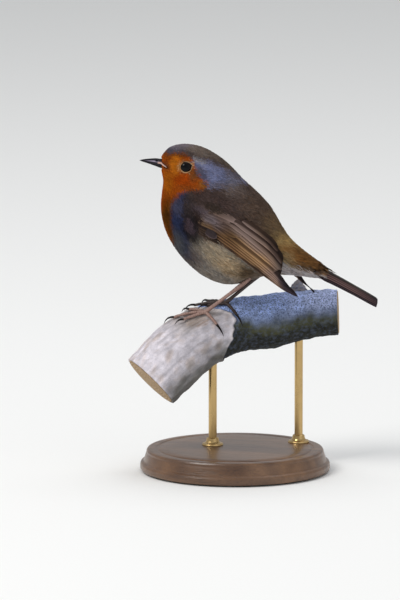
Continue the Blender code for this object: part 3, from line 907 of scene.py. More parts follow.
@dataclass
class Surface:
    """A mesh that plumage grows on, as arrays in millimetres."""

    piece: Object
    corners: Array = field(init=False)
    normals: Array = field(init=False)
    areas: Array = field(init=False)
    tree: BVHTree = field(init=False)

    def __post_init__(self) -> None:
        """Reads the mesh's triangles."""
        mesh = self.piece.data
        mesh.calc_loop_triangles()
        points = numbers(mesh.vertices, "co") / MM
        triangles = numbers(mesh.loop_triangles, "vertices", int)
        self.corners, self.normals = points[triangles], numbers(mesh.vertex_normals, "vector")[triangles]
        first, second, third = self.corners.transpose(1, 0, 2)
        self.areas = lengths(np.cross(second - first, third - first)) / 2
        self.tree = BVHTree.FromPolygons(points.tolist(), triangles.tolist())

    def scatter(self, density: Callable[[Array], Array], seed: int) -> tuple[Array, Array]:
        """Evenly scattered roots.

        Args:
            density: Gives how many roots a square millimetre takes at each point.
            seed: Starts the random numbers.

        Returns:
            The roots and the surface's normals there.
        """
        rng = np.random.default_rng(seed)
        total = np.cumsum(self.areas * density(self.corners.mean(axis=1)))
        chosen = np.minimum(np.searchsorted(total, np.arange(0.5, total[-1])), len(total) - 1)
        a, b = rng.random(len(chosen)), rng.random(len(chosen))
        a, b = np.where(a + b > 1, 1 - a, a), np.where(a + b > 1, 1 - b, b)
        shares = stack(1 - a - b, a, b)[:, :, None]
        return (self.corners[chosen] * shares).sum(axis=1), unit((self.normals[chosen] * shares).sum(axis=1))

    def nearest(self, points: Array) -> tuple[Array, Array]:
        """The surface's nearest points, and its normals there."""
        found = [self.tree.find_nearest(Vector(point)) for point in points]
        return np.array([hit[0][:] for hit in found]), np.array([hit[1][:] for hit in found])


@dataclass
class Skin:
    """The one skin under the plumage: the flesh of the frame joined, smoothed and drawn in by the coat."""

    flesh: tuple[str, ...] = ("head", "neck", "trunk", "rump", "thigh_left", "thigh_right")
    filled: tuple[str, ...] = ("eye_left", "eye_right", "wing_left_coverts", "wing_right_coverts")
    tail_end: float = 47
    grow: float = 0.32
    sink: float = 0.8  # of the coat's depth
    shade: float = 0.8
    voxel: float = 0.62
    smoothing: int = 6
    flank_smoothing: int = 26

    def build(self, lie: Lie, markings: Markings) -> Object:
        """Makes the skin and gives it the markings.

        Args:
            lie: How deep the coat is at each place.
            markings: The plumage's colours.

        Returns:
            The skin.
        """
        solid = bmesh.new()
        for name in (*self.flesh, *self.filled):
            solid.from_mesh(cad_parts[name].data)
        self.add_tail_root(solid)
        bmesh.ops.remove_doubles(solid, verts=solid.verts, dist=WELD)
        for vert, normal in self.normals(solid):
            vert.co += normal * self.grow * MM
        skin = bmesh.new()
        skin.from_mesh(self.voxelled(solid))
        self.smooth(skin, list(skin.verts), self.smoothing)
        self.smooth(skin, [vert for vert in skin.verts if self.on_flank(vert.co / MM)], self.flank_smoothing)
        drawn = (lie.depth(self.points(skin)) * self.sink + self.grow) * MM
        for (vert, normal), depth in zip(self.normals(skin), drawn):
            vert.co -= normal * depth
        paint = skin.verts.layers.float_color.new("paint")
        for vert, colour in zip(skin.verts, markings.colours(self.points(skin)) * self.shade):
            vert[paint] = (*colour, 1)
        mesh = bpy.data.meshes.new("skin")
        skin.to_mesh(mesh)
        skin.free()
        mesh.shade_smooth()
        return keep(placed("skin", mesh, PlumageFinish("skin_and_down", relief=0.12)), self.flesh)

    def points(self, solid: bmesh.types.BMesh) -> Array:
        """Its vertices' places in millimetres."""
        return np.array([vert.co[:] for vert in solid.verts]) / MM

    def normals(self, solid: bmesh.types.BMesh) -> list[tuple[bmesh.types.BMVert, Vector]]:
        """Its vertices with their normals."""
        solid.normal_update()
        return [(vert, vert.normal.copy()) for vert in solid.verts]

    def smooth(self, solid: bmesh.types.BMesh, verts: list, times: int) -> None:
        """Smooths some of a solid's vertices a number of times."""
        for _ in range(times):
            bmesh.ops.smooth_vert(solid, verts=verts, factor=0.5, use_axis_x=True, use_axis_y=True, use_axis_z=True)

    def on_flank(self, point: Vector) -> bool:
        """Whether a point of the skin lies on a flank, where the coverts' lower end is smoothed away."""
        return -14 < point.x < 12 and abs(point.y) > 13 and 100 < point.z < 120

    def add_tail_root(self, solid: bmesh.types.BMesh) -> None:
        """Adds the fleshy root of the tail, cut off where only feathers go on."""
        root = bmesh.new()
        root.from_mesh(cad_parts["tail"].data)
        bmesh.ops.remove_doubles(root, verts=root.verts, dist=WELD)
        bmesh.ops.bisect_plane(root, geom=[*root.verts, *root.edges, *root.faces], plane_co=(self.tail_end * MM, 0, 0),
                               plane_no=(1, 0, 0), clear_outer=True)
        bmesh.ops.holes_fill(root, edges=[edge for edge in root.edges if edge.is_boundary])
        mesh = bpy.data.meshes.new("tail_root")
        root.to_mesh(mesh)
        root.free()
        solid.from_mesh(mesh)
        bpy.data.meshes.remove(mesh)

    def voxelled(self, solid: bmesh.types.BMesh) -> bpy.types.Mesh:
        """One closed, even mesh round overlapping solids. The bmesh is freed."""
        mesh = bpy.data.meshes.new("flesh")
        solid.to_mesh(mesh)
        solid.free()
        piece = placed("flesh", mesh)
        remesh = piece.modifiers.new("even", "REMESH")
        remesh.mode = "VOXEL"
        remesh.voxel_size = self.voxel * MM
        result = bpy.data.meshes.new_from_object(piece.evaluated_get(bpy.context.evaluated_depsgraph_get()))
        bpy.data.objects.remove(piece)
        return result


class LockShape:
    """The shape that every lock of plumage has: a slim closed blade of barbs that ends in a point."""

    outline: Line = ((0, 0.12), (0.25, 0.9), (0.55, 1), (0.8, 0.66), (1, 0))  # share of its length, breadth

    def __init__(self, rings: int = 3) -> None:
        """Makes the blade, one unit long and broad.

        Args:
            rings: Loops between its root and its tip.
        """
        bm = bmesh.new()
        bmesh.ops.create_cone(bm, cap_ends=True, segments=3, radius1=1, radius2=1, depth=1)
        long_edges = [edge for edge in bm.edges if abs(edge.verts[0].co.z - edge.verts[1].co.z) > 0.5]
        bmesh.ops.subdivide_edges(bm, edges=long_edges, cuts=rings, use_grid_fill=True)
        bmesh.ops.pointmerge(bm, verts=[vert for vert in bm.verts if vert.co.z > 0.49], merge_co=(0, 0, 0.5))
        bmesh.ops.triangulate(bm, faces=bm.faces)
        bmesh.ops.recalc_face_normals(bm, faces=bm.faces)
        bm.verts.index_update()
        rows = np.array([vert.co[:] for vert in bm.verts])
        self.along = rows[:, 2] + 0.5
        breadth = read(self.outline, self.along)
        turned = rows[:, 0] if (np.abs(rows[:, 0]) < 0.2).sum() > 3 else rows[:, 1]
        ridge = np.abs(turned) < 0.2
        self.across = np.where(ridge, 0, np.sign(turned) * 0.5) * breadth
        self.height = ridge * breadth
        self.triangles = np.array([[vert.index for vert in face.verts] for face in bm.faces])
        bm.free()


@dataclass
class Coat:
    """Locks of plumage over a surface, in pieces."""

    lie: Lie
    markings: Markings
    shape: LockShape
    cover: float = 7.6
    thickness: float = 0.16
    axis: tuple[Colour, Colour] = ((-46, -10, 152), (70, 6, 88))
    patch: float = 0.003
    finish: PlumageFinish = PlumageFinish("coat")

    def density(self, points: Array) -> Array:
        """How many locks a square millimetre takes."""
        return self.cover / (self.lie.length(points) * self.lie.width(points) * 0.62)

    def grow(self, name: str, surface: Surface, slot: Slot, roots: Array, normals: Array, seed: int) -> None:
        """Makes one piece of the coat.

        Args:
            name: The piece's name.
            surface: What it grows on.
            slot: Its material slot; not used.
            roots: Where the locks start, in millimetres.
            normals: The surface's normals there.
            seed: Starts the random numbers.
        """
        rng = np.random.default_rng(seed)
        count = len(roots)
        free = soft_step(37, 42, roots[:, :1])  # past the rump, locks lie along the tail
        ways = unit(self.lie.ways(roots, normals) * (1 - free) + unit(np.array(self.lie.sink) - roots) * free)
        ways = unit(ways + np.cross(normals, ways) * rng.normal(0, 0.16, (count, 1)))
        length = (self.lie.length(roots) * rng.uniform(0.75, 1.2, count))[:, None]
        width = (self.lie.width(roots) * rng.uniform(0.75, 1.25, count))[:, None]
        depth = (self.lie.depth(roots) * rng.uniform(0.8, 1.12, count))[:, None]

        def over_skin(share: float, rise: float, free_rise: float) -> tuple[Array, Array]:
            """Points at a share of the locks' length and a rise of the coat's depth, and the skin's normals."""
            straight = roots + ways * length * share
            on_skin, leans = surface.nearest(straight)
            bent = on_skin + leans * depth * rise
            return bent * (1 - free) + (straight + normals * depth * free_rise) * free, leans

        middle, _ = over_skin(0.5, 0.7, 0.5)
        end, end_normal = over_skin(1, 1, 0.6)
        start = roots - normals * 0.25
        bend = 2 * middle - (start + end) / 2
        t = self.shape.along[None, :, None]
        spine = (1 - t) ** 2 * start[:, None] + 2 * t * (1 - t) * bend[:, None] + t**2 * end[:, None]
        lean = unit((1 - t) * normals[:, None] + t * end_normal[:, None])
        side = unit(np.cross(lean, unit(end - start)[:, None]))
        across = self.shape.across[None, :, None] * width[:, None]
        height = self.shape.height[None, :, None] * self.thickness * (0.6 + width[:, None])
        seen = 0.4 * roots + 0.6 * end + rng.normal(0, 0.45, (count, 3))
        colours = self.markings.colours(seen) * self.variety(rng, count) * self.streaks(roots)
        shade = 0.72 + 0.28 * soft_step(0.1, 0.7, self.shape.along)
        soft = unit(lean + side * np.sign(self.shape.across)[None, :, None] * 0.35)
        points = spine + side * across + lean * height
        keep(self.mesh(name, points, colours[:, None, :] * shade[None, :, None], soft, self.spots(roots)))

    def variety(self, rng: np.random.Generator, count: int) -> Array:
        """Small differences in colour from lock to lock, as factors."""
        value = rng.normal(1, 0.13, (count, 1))
        warmth = rng.normal(0, 0.04, (count, 1))
        return np.clip(value, 0.6, 1.5) * (1 + warmth * np.array([[1, 0, -1]]))

    def streaks(self, roots: Array) -> Array:
        """The long soft streaks that neighbouring locks make together, as factors."""
        turn, along = self.unwrap(roots)
        fine = Grain(1.3, 61, 12)(stack(turn * 95, along * 0.16, 0))
        broad = Grain(4, 62)(stack(turn * 95, along * 0.3, 0))
        return (1 + 0.1 * fine + 0.07 * broad)[:, None]

    def unwrap(self, roots: Array) -> tuple[Array, Array]:
        """Each root's turn round the body, from 0 to 1, and its distance along it."""
        start, end = np.array(self.axis)
        run = unit(end - start)
        side = unit(np.cross(run, UP))
        away = roots - start
        return np.arctan2(away @ side, -(away @ np.cross(side, run))) / math.tau + 0.5, away @ run

    def spots(self, roots: Array) -> Array:
        """Each root's place on an unwrap of the body's own shape."""
        spots = stack(*self.unwrap(roots))
        low, high = spots.min(axis=0), spots.max(axis=0)
        return 0.005 + (spots - low) / np.maximum(high - low, 1e-6) * (0.99 - self.patch)

    def mesh(self, name: str, points: Array, colours: Array, normals: Array, spots: Array) -> Object:
        """Joins all locks in one mesh.

        Args:
            name: The piece's name.
            points: For each lock, the place of each vertex.
            colours: For each lock, the colour of each vertex.
            normals: For each lock, the soft normal of each vertex.
            spots: For each lock, its corner on the bake map.

        Returns:
            The object.
        """
        count, size = points.shape[:2]
        triangles = (self.shape.triangles[None] + np.arange(count)[:, None, None] * size).reshape(-1, 3)
        mesh = bpy.data.meshes.new(name)
        mesh.vertices.add(count * size)
        mesh.vertices.foreach_set("co", (points * MM).ravel())
        mesh.loops.add(triangles.size)
        mesh.loops.foreach_set("vertex_index", triangles.ravel())
        mesh.polygons.add(len(triangles))
        mesh.polygons.foreach_set("loop_start", np.arange(0, triangles.size, 3))
        mesh.update(calc_edges=True)
        paint = mesh.attributes.new("paint", "FLOAT_COLOR", "POINT")
        paint.data.foreach_set("color", np.insert(colours.reshape(-1, 3), 3, 1, axis=1).ravel())
        local = stack(self.shape.across + 0.5, self.shape.along) * self.patch
        places = (spots[:, None] + local[None]).reshape(-1, 2)
        mesh.uv_layers.new(name=BAKE_MAP).data.foreach_set("uv", places[triangles.ravel()].ravel())
        mesh.shade_smooth()
        mesh.normals_split_custom_set_from_vertices(normals.reshape(-1, 3).tolist())
        return placed(name, mesh, self.finish)


# --- Wings and tail ---

WING_ROWS = (  # lower edge (x, z), upper edge (x, z), how far out, how much the upper edge leans in
    (-22.5, 124.5, -18.5, 133.5, 15.4, 0.1),
    (-15.6, 116.6, -11.2, 137.2, 18.4, 0.22),
    (-8.8, 112.2, -1.8, 135, 19.9, 0.3),
    (-1.2, 108.4, 8.6, 129.6, 20.6, 0.34),
    (8, 103.4, 17, 121.6, 20.3, 0.36),
    (16.8, 98, 23.6, 114.4, 19.1, 0.36),
    (22.2, 95, 27.6, 107, 17.6, 0.28),
    (26, 92.8, 28.4, 101, 16.2, 0.14),
    (30.4, 90.4, 31.2, 95.4, 15.2, 0.04),
    (36.2, 88, 35.6, 89.8, 14, 0),
)
TAIL_ROWS = (  # middle (x, z), half width, thickness
    (40, 101.9, 4, 1.8),
    (45, 99.4, 4.9, 2.6),
    (50, 97, 5.2, 2.4),
    (59.8, 91.8, 5.5, 1.8),
    (66.8, 87.9, 5.7, 1.6),
    (70.6, 85.8, 5.5, 1.2),
)
ROW_STEP, SHARE_STEP = 7, 18  # about how many millimetres a row and a whole share of the wing are


@dataclass(frozen=True)
class FoldedWing:
    """The outer face of a folded wing. Its rows run from the wrist to the tip, and shares run up it."""

    side: Side
    thickness: float = 2.4
    edge_thickness: float = 0.8
    tuck: float = 0.06
    lean_curve: float = 2.2
    drop: float = 0  # how much lower the upper edge lies behind
    flank_line: Line = (  # rows, the share that the flank's plumage covers
        (0, 0.5), (0.6, 0.3), (1.2, 0.17), (2.4, 0.2), (3.3, 0.17), (5, 0.13), (6.4, 0.12), (7.6, 0.08), (8.4, 0),
    )
    back_line: Line = (  # rows, the share above which soft coverts hide the vanes
        (0, 0), (0.85, 0.16), (1.15, 0.34), (1.5, 0.5), (2.1, 0.57), (2.8, 0.64), (3.35, 0.76), (4.05, 0.93),
        (4.7, 1), (9, 1.3),
    )
    base: Colour = (0.115, 0.069, 0.038)
    blots: tuple[Blot, ...] = (  # centres and radii along the wing, through it and up it
        Blot((25, 0, 6), (10, 9, 3.2), (0.115, 0.058, 0.024), 0.8, 0.6),
        Blot((20, 0, 8), (6, 9, 2.4), (0.085, 0.044, 0.018), 0.8, 0.6),
        Blot((34.5, 0, 8.6), (8.5, 9, 3.6), (0.31, 0.185, 0.09), 0.9, 0.7),
        Blot((27, 0, 12.8), (11.5, 9, 3), (0.195, 0.138, 0.12), 0.95, 0.5, -3),
        Blot((15, 0, 10), (5, 9, 2.6), (0.085, 0.056, 0.05), 0.85, 0.6),
        Blot((36, 0, 12.2), (7, 9, 2), (0.2, 0.128, 0.09), 0.7, 0.6, -6),
        Blot((38, 0, 15.3), (7, 9, 2), (0.062, 0.038, 0.032), 0.9, 0.5, -8),
        Blot((40, 0, 17.3), (7, 9, 1.2), (0.04, 0.018, 0.01), 0.9, 0.5),
        Blot((44, 0, 5.8), (8, 9, 3), (0.2, 0.132, 0.105), 0.85, 0.6),
        Blot((45.5, 0, 9), (6.5, 9, 2.6), (0.13, 0.088, 0.08), 0.8, 0.6),
        Blot((45, 0, 13), (5, 9, 3), (0.105, 0.08, 0.072), 0.7, 0.6),
        Blot((51, 0, 11), (4.5, 9, 3.4), (0.05, 0.034, 0.038), 0.85, 0.5),
        Blot((59, 0, 8), (9, 9, 11), (0.022, 0.015, 0.021), 0.95, 0.4),
        Blot((4, 0, 9), (4.5, 9, 5), (0.034, 0.024, 0.026), 0.85, 0.5),
        Blot((12.5, 0, 9.3), (3.6, 9, 1.7), (0.135, 0.108, 0.115), 0.8, 0.6),
        # painted shadow: two dark blots along the wing's lower edge, where it lies over the flank
        Blot((13, 0, 2.6), (9, 9, 2.3), (0.026, 0.014, 0.009), 0.9, 0.5),
        Blot((29, 0, 2.9), (15, 9, 1), (0.022, 0.012, 0.008), 0.9, 0.5),
    )

    def breadth(self, at: Array) -> Array:
        """How many millimetres a whole share is."""
        rows = spline(WING_ROWS, at)
        return np.hypot(rows[..., 2] - rows[..., 0], rows[..., 3] - rows[..., 1])

    def point(self, at: Array, up: Array) -> Array:
        """Points of the outer face."""
        low_x, low_z, high_x, high_z, out, lean = np.moveaxis(spline(WING_ROWS, at), -1, 0)
        lean = lean * np.maximum(up, 0) ** self.lean_curve
        out = out * (1 - lean - self.tuck * (1 - up) ** 2)
        z = low_z + (high_z - low_z) * up - self.drop * soft_step(2.5, 5, at) * np.clip(up, 0, 1)
        return stack(low_x + (high_x - low_x) * up, self.side.value * out, z)

    def normal(self, at: Array, up: Array) -> Array:
        """Unit normals of the outer face, outwards."""
        run = self.point(at + 0.1, up) - self.point(at - 0.1, up)
        rise = self.point(at, up + 0.05) - self.point(at, up - 0.05)
        normal = unit(np.cross(run, rise))
        return normal * np.sign(normal[..., 1:2] * self.side.value + 1e-9)

    def lifted(self, at: Array, up: Array, lift: Array) -> Array:
        """Points above the outer face."""
        return self.point(at, up) + self.normal(at, up) * np.asarray(lift)[..., None]

    def wash(self, at: Array, up: Array) -> Array:
        """The colours that run over the whole wing, under each vane's own tones, with painted shadow along its lower
        edge.
        """
        flat = stack(at * ROW_STEP, 0, up * SHARE_STEP)
        return overlaid(self.base, self.blots, flat + stack(0.5 * Grain(5, 21)(flat), 0, 0.35 * Grain(4, 22)(flat)))

    def softness(self, at: Array, up: Array) -> Array:
        """How far above the vanes, in shares, a place lies among the soft coverts."""
        return up - read(self.back_line, at)

    def covers(self, points: Array) -> Array:
        """Which points of the skin lie under the vanes."""
        at, up = (grid.ravel() for grid in np.meshgrid(np.linspace(0, 9, 181), np.linspace(-0.15, 1.12, 90)))
        face = self.point(at, up)
        tree = KDTree(len(face))
        for index, point in enumerate(face):
            tree.insert(point, index)
        tree.balance()
        found = np.array([tree.find(point)[1] for point in points])
        height = ((points - face[found]) * self.normal(at, up)[found]).sum(axis=1)
        at, up = at[found], up[found]
        under = (height < 1.5) & (height > -9) & (up < 1.1) & (up > -0.14)
        return under & (self.softness(at, up) < -0.02) & (up - read(self.flank_line, at) > 0.04)


@dataclass(frozen=True)
class ClosedTail:
    """One layer of one half of the closed tail. Its shares run from its outer edge to the middle."""

    side: Side
    layer: float  # from -1, the underside, to 1, the upper side
    arch: float = 2.4
    swing: float = math.radians(16)
    pivot: float = 45

    def breadth(self, at: Array) -> Array:
        """How many millimetres a whole share is."""
        return spline(TAIL_ROWS, at)[..., 2]

    def lifted(self, at: Array, share: Array, lift: Array) -> Array:
        """Points above the layer."""
        x, z, half, thick = spline(TAIL_ROWS, at).T
        run = unit(spline(TAIL_ROWS, at + 0.1)[..., :2] - spline(TAIL_ROWS, at - 0.1)[..., :2])
        out = self.side.value * (1 - share)
        height = self.layer * thick * 0.42 + lift
        points = stack(x - run[..., 1] * height, half * out, z - self.arch * out * out + run[..., 0] * height)
        return turn_about(points, self.pivot, self.swing)


@dataclass(frozen=True)
class VaneColours:
    """The colours of a vane, across and along it. Its inner colour, towards where the next feather overlaps it, is
    partly the vane's own darker web and partly painted shadow under that feather's edge.
    """

    web: Colour
    edge: Colour
    shaft: Colour = (0.03, 0.018, 0.012)
    # partly painted shadow: the darker inner web, where the next feather's edge overlaps
    inner: Colour = (0.05, 0.033, 0.027)
    tip: Colour = (0.05, 0.035, 0.03)
    edge_share: float = 0.16
    tip_share: float = 0.07
    inner_share: tuple[float, float] = (0.37, 0.82)

    def at(self, across: Array, along: Array, shaft: float) -> Array:
        """The colours at shares across and along the vane."""
        colour = over(self.web, self.inner, soft_step(*self.inner_share, across))
        colour = over(colour, self.edge, soft_step(self.edge_share, self.edge_share * 0.4, across))
        colour = over(colour, self.tip, soft_step(1 - self.tip_share, 1, along) * 0.8)
        return over(colour, self.shaft, 0.4 * np.exp(-(((across - shaft) / 0.045) ** 2)))


@dataclass(frozen=True)
class Vane:
    """One feather, laid along a surface by its leading edge, from its root to its tip."""

    path: Line  # rows and shares of the surface
    width: float
    lift: float
    colours: VaneColours
    tilt: float = 0.45
    rise: float = 0.12
    rounding: float = 0.82
    root: tuple[float, float] = (0.5, 0.14)  # how broad it starts, and where it is full
    shaft: float = 0.32
    thickness: float = 0.2
    around: int = 28
    along: int = 26
    washed: bool = True

    def add_to(self, form: Form, bed: FoldedWing | ClosedTail, tone: float) -> None:
        """Adds the feather to a form.

        Args:
            form: The form.
            bed: The surface that it lies on.
            tone: How light it is, about 1.
        """
        path = np.array(self.path)
        steps = np.hypot(*np.diff(path * (ROW_STEP, SHARE_STEP), axis=0).T)
        marks = np.append(0, np.cumsum(steps)) / steps.sum()

        def spread(u: Array, v: Array) -> tuple[Array, Array, Array, Array]:
            """Shares across the vane, how broad it is there, and where on the surface that is."""
            across = (1 - np.cos(u * math.tau)) / 2
            root = np.interp(v, (0, self.root[1]), (self.root[0], 1))
            end = np.clip((v - self.rounding) / (1 - self.rounding), 0, 1)
            breadth = root * np.sqrt(1 - end**2)
            at, lead = np.interp(v, marks, path[:, 0]), np.interp(v, marks, path[:, 1])
            share = lead + ((1 - breadth) * 0.35 + across * breadth) * self.width / bed.breadth(at)
            return across, breadth, at, share

        def place(u: Array, v: Array) -> Array:
            """Points of the vane."""
            across, breadth, at, share = spread(u, v)
            lift = self.lift + self.tilt * (0.5 - across) + self.rise * v
            ridge = 0.1 * np.exp(-(((across - self.shaft) / 0.05) ** 2)) * (u < 0.5)
            return bed.lifted(at, share, lift + np.sin(u * math.tau) * self.thickness / 2 + ridge * breadth)

        def colour(u: Array, v: Array) -> Array:
            """Colours of the vane."""
            across, _, at, share = spread(u, v)
            own = self.colours.at(across, v, self.shaft) * tone
            return own * bed.wash(at, share) if self.washed else own

        form.sheet(self.around, self.along, place, colour)


@dataclass
class Wing:
    """One folded wing: the bed that the feathers lie on, and each feather that shows.

    The first five vane colours are tones, which the wing's wash colours.
    """

    side: Side
    bed_end: float = 6.9
    sink: float = 0.55
    primary: VaneColours = VaneColours(
        (0.95, 0.95, 0.95), (2.1, 2.05, 2), (0.6, 0.55, 0.55), (0.3, 0.26, 0.26), (0.6, 0.6, 0.65),
        0.15, 0.1, (0.18, 0.38))
    secondary: VaneColours = VaneColours(
        (1, 1, 1), (1.7, 1.66, 1.58), (0.6, 0.55, 0.55), (0.32, 0.28, 0.26), (0.75, 0.75, 0.75),
        0.11, 0.06, (0.16, 0.32))
    tertial: VaneColours = VaneColours(
        (1, 1, 1), (1.6, 1.6, 1.6), (0.6, 0.55, 0.55), (0.25, 0.21, 0.2), (0.9, 0.9, 0.9),
        0.12, 0.08, (0.24, 0.5))
    greater: VaneColours = VaneColours(
        (0.95, 0.95, 0.95), (1.22, 1.22, 1.2), (0.65, 0.6, 0.6), (0.55, 0.5, 0.46), (1.15, 1.15, 1.15),
        0.13, 0.12, (0.16, 0.36))
    median: VaneColours = VaneColours(
        (0.8, 0.8, 0.8), (1.25, 1.25, 1.3), (0.6, 0.6, 0.6), (0.6, 0.58, 0.6), (1.3, 1.3, 1.35),
        0.34, 0.2, (0.3, 0.7))
    alula: VaneColours = VaneColours((0.036, 0.024, 0.026), (0.12, 0.084, 0.084), inner=(0.028, 0.019, 0.02),
                                     tip=(0.11, 0.078, 0.078), tip_share=0.15, edge_share=0.12)
    primary_covert: VaneColours = VaneColours((0.03, 0.017, 0.011), (0.062, 0.035, 0.022), inner=(0.015, 0.009, 0.007),
                                              tip=(0.03, 0.018, 0.014), inner_share=(0.2, 0.5))
    face: FoldedWing = field(init=False)

    def __post_init__(self) -> None:
        """Sets the face of this side. The right wing's rear is held lower, so that it hides behind the back."""
        self.face = FoldedWing(self.side, drop=3.6 if self.side is Side.RIGHT else 0)

    def build(self) -> None:
        """Makes the wing's pieces."""
        word = self.side.word
        bed = Form(f"wing_{word}_bed")
        bed.sheet(48, 90, self.bed, (0.03, 0.02, 0.017))
        bed.leave(PlumageFinish("skin_and_down", relief=0.12), Slot.OLIVE)
        rng = np.random.default_rng(7)
        for name, vanes, slot, replaced in (
                ("flight", self.flight_feathers(), Slot.FLIGHT, (f"wing_{word}_primaries", f"wing_{word}_tertials")),
                ("greater_coverts", self.coverts(), Slot.OLIVE, (f"wing_{word}_coverts",))):
            form = Form(f"wing_{word}_{name}")
            for vane in vanes:
                vane.add_to(form, self.face, float(rng.uniform(0.9, 1.1)))
            form.leave(VaneFinish("vane"), slot, replaced)

    def bed(self, u: Array, v: Array) -> Array:
        """Points of the wing's solid part, just under its feathers and sunk into the skin where there are none."""
        face = self.face
        at = v * self.bed_end
        low = read(face.flank_line, at) + 0.02
        up = low + (0.97 - low) * (1 - np.cos(u * math.tau)) / 2
        thick = face.edge_thickness + (face.thickness - face.edge_thickness) * np.sin(math.pi * up)
        sink = self.sink + soft_step(0, 0.12, face.softness(at, up)) * soft_step(4.4, 3.4, at)
        lift = np.where(np.sin(u * math.tau) >= 0, -sink, np.minimum(0.25 - thick, -sink - 0.15))
        return face.lifted(at, up, lift)

    def flight_feathers(self) -> list[Vane]:
        """Primaries, secondaries and tertials, from the wing's lower edge up."""
        vanes = []
        for k, tip in enumerate(((8.62, 0.1), (9, 0.1), (8.97, 0.3), (8.5, 0.42), (7.9, 0.53))):
            path = ((1.9, 0.2 + 0.046 * k), (2.5, 0.195 + 0.05 * k), (3.9, 0.17 + 0.054 * k),
                    (5.3, 0.135 + 0.06 * k), (6.4, 0.12 + 0.07 * k), (7.4, 0.12 + 0.095 * k))
            vanes.append(Vane((*path[:6 if k < 4 else 5], tip), 2.8, -0.15, self.primary, rounding=0.8, along=56))
        for k in range(5):
            path = ((2.2, 0.4 + 0.036 * k), (3.4, 0.385 + 0.054 * k), (5, 0.375 + 0.062 * k),
                    (6.02 + 0.12 * k, 0.4 + 0.084 * k))
            vanes.append(Vane(path, 3.4, 0.12 if k else 0.3, self.secondary, rounding=0.88, along=48))
        for k, (width, *path) in enumerate((
                (3.9, (2.6, 0.58), (3.8, 0.62), (5, 0.62), (6, 0.66), (6.62, 0.72)),
                (3.6, (2.9, 0.66), (3.7, 0.7), (4.4, 0.735), (5.2, 0.77), (6.25, 0.82)),
                (2.6, (3.2, 0.78), (4, 0.84), (4.8, 0.875), (5.45, 0.88)))):
            vanes.append(Vane(path, width, 0.4 + 0.2 * k, self.tertial, rounding=0.8, shaft=0.42, along=44))
        return vanes

    def coverts(self) -> list[Vane]:
        """Primary coverts, alula and greater coverts, each row over the roots of the one before."""
        vanes = []
        for k in range(4):
            path = ((1.2, 0.13 + 0.04 * k), (1.9, 0.145 + 0.04 * k), (2.75 - 0.12 * k, 0.16 + 0.042 * k))
            vanes.append(Vane(path, 2, -0.2, self.primary_covert, rise=0.4, rounding=0.6, along=22, washed=False))
        for k in range(6):
            path = ((1.1 + 0.08 * k, 0.32 + 0.048 * k), (2.2 + 0.13 * k, 0.365 + 0.058 * k),
                    (3.2 + 0.12 * k, 0.375 + 0.062 * k))
            vanes.append(Vane(path, 3.2, -0.1, self.greater, rise=0.5, rounding=0.74, along=30))
        vanes.append(Vane(((1.75, 0.205), (2.1, 0.205), (2.5, 0.215)), 3.9, 0.1, self.alula, rise=0.8,
                          rounding=0.35, shaft=0.45, along=24, washed=False))
        for k in range(4):
            path = ((0.9 + 0.1 * k, 0.42 + 0.05 * k), (1.5 + 0.14 * k, 0.46 + 0.06 * k),
                    (2.2 + 0.3 * k, 0.465 + 0.07 * k))
            vanes.append(Vane(path, 3.2, -0.5, self.median, rise=1.15, rounding=0.6, along=26))
        return vanes


@dataclass
class Tail:
    """The closed tail: six pairs of feathers, the outermost lowest and the middle pair on top."""

    pairs: int = 6
    width: float = 4.3
    tips: tuple[float, ...] = (4.97, 5, 5, 4.96, 4.88, 4.7)
    leads: tuple[float, ...] = (0, 0.08, 0.18, 0.31, 0.45, 0.6)
    top: VaneColours = VaneColours((0.036, 0.029, 0.028), (0.15, 0.092, 0.07), inner=(0.034, 0.027, 0.025),
                                   tip=(0.016, 0.013, 0.016), tip_share=0.5, edge_share=0.1)
    middle: VaneColours = VaneColours((0.058, 0.034, 0.04), (0.22, 0.125, 0.11), inner=(0.022, 0.014, 0.017),
                                      tip=(0.022, 0.015, 0.019), tip_share=0.55, edge_share=0.09,
                                      inner_share=(0.09, 0.22))
    low: VaneColours = VaneColours((0.014, 0.01, 0.014), (0.085, 0.056, 0.062), inner=(0.008, 0.006, 0.009),
                                   tip=(0.01, 0.008, 0.01), tip_share=0.05, edge_share=0.05)

    def build(self) -> None:
        """Makes the tail's feathers."""
        form = Form("tail_feathers")
        rng = np.random.default_rng(19)
        for k, (tip, lead) in enumerate(zip(self.tips, self.leads)):
            layer = -1 + 2 * k / (self.pairs - 1)
            colours = self.low if k < 2 else self.middle if k < self.pairs - 1 else self.top
            vane = Vane(((0.3, lead), (tip, lead)), self.width, 0, colours, -0.1, 0, 0.95, (0.4, 0.16),
                        0.3 + 0.02 * k, 0.22, along=44, washed=False)
            for side in Side:
                bed = ClosedTail(side, layer + (0.03 if side is Side.RIGHT else 0))
                vane.add_to(form, bed, float(rng.uniform(0.9, 1.1)))
        form.leave(VaneFinish("vane"), Slot.FLIGHT, ("tail",))


# --- Bill and eyes ---


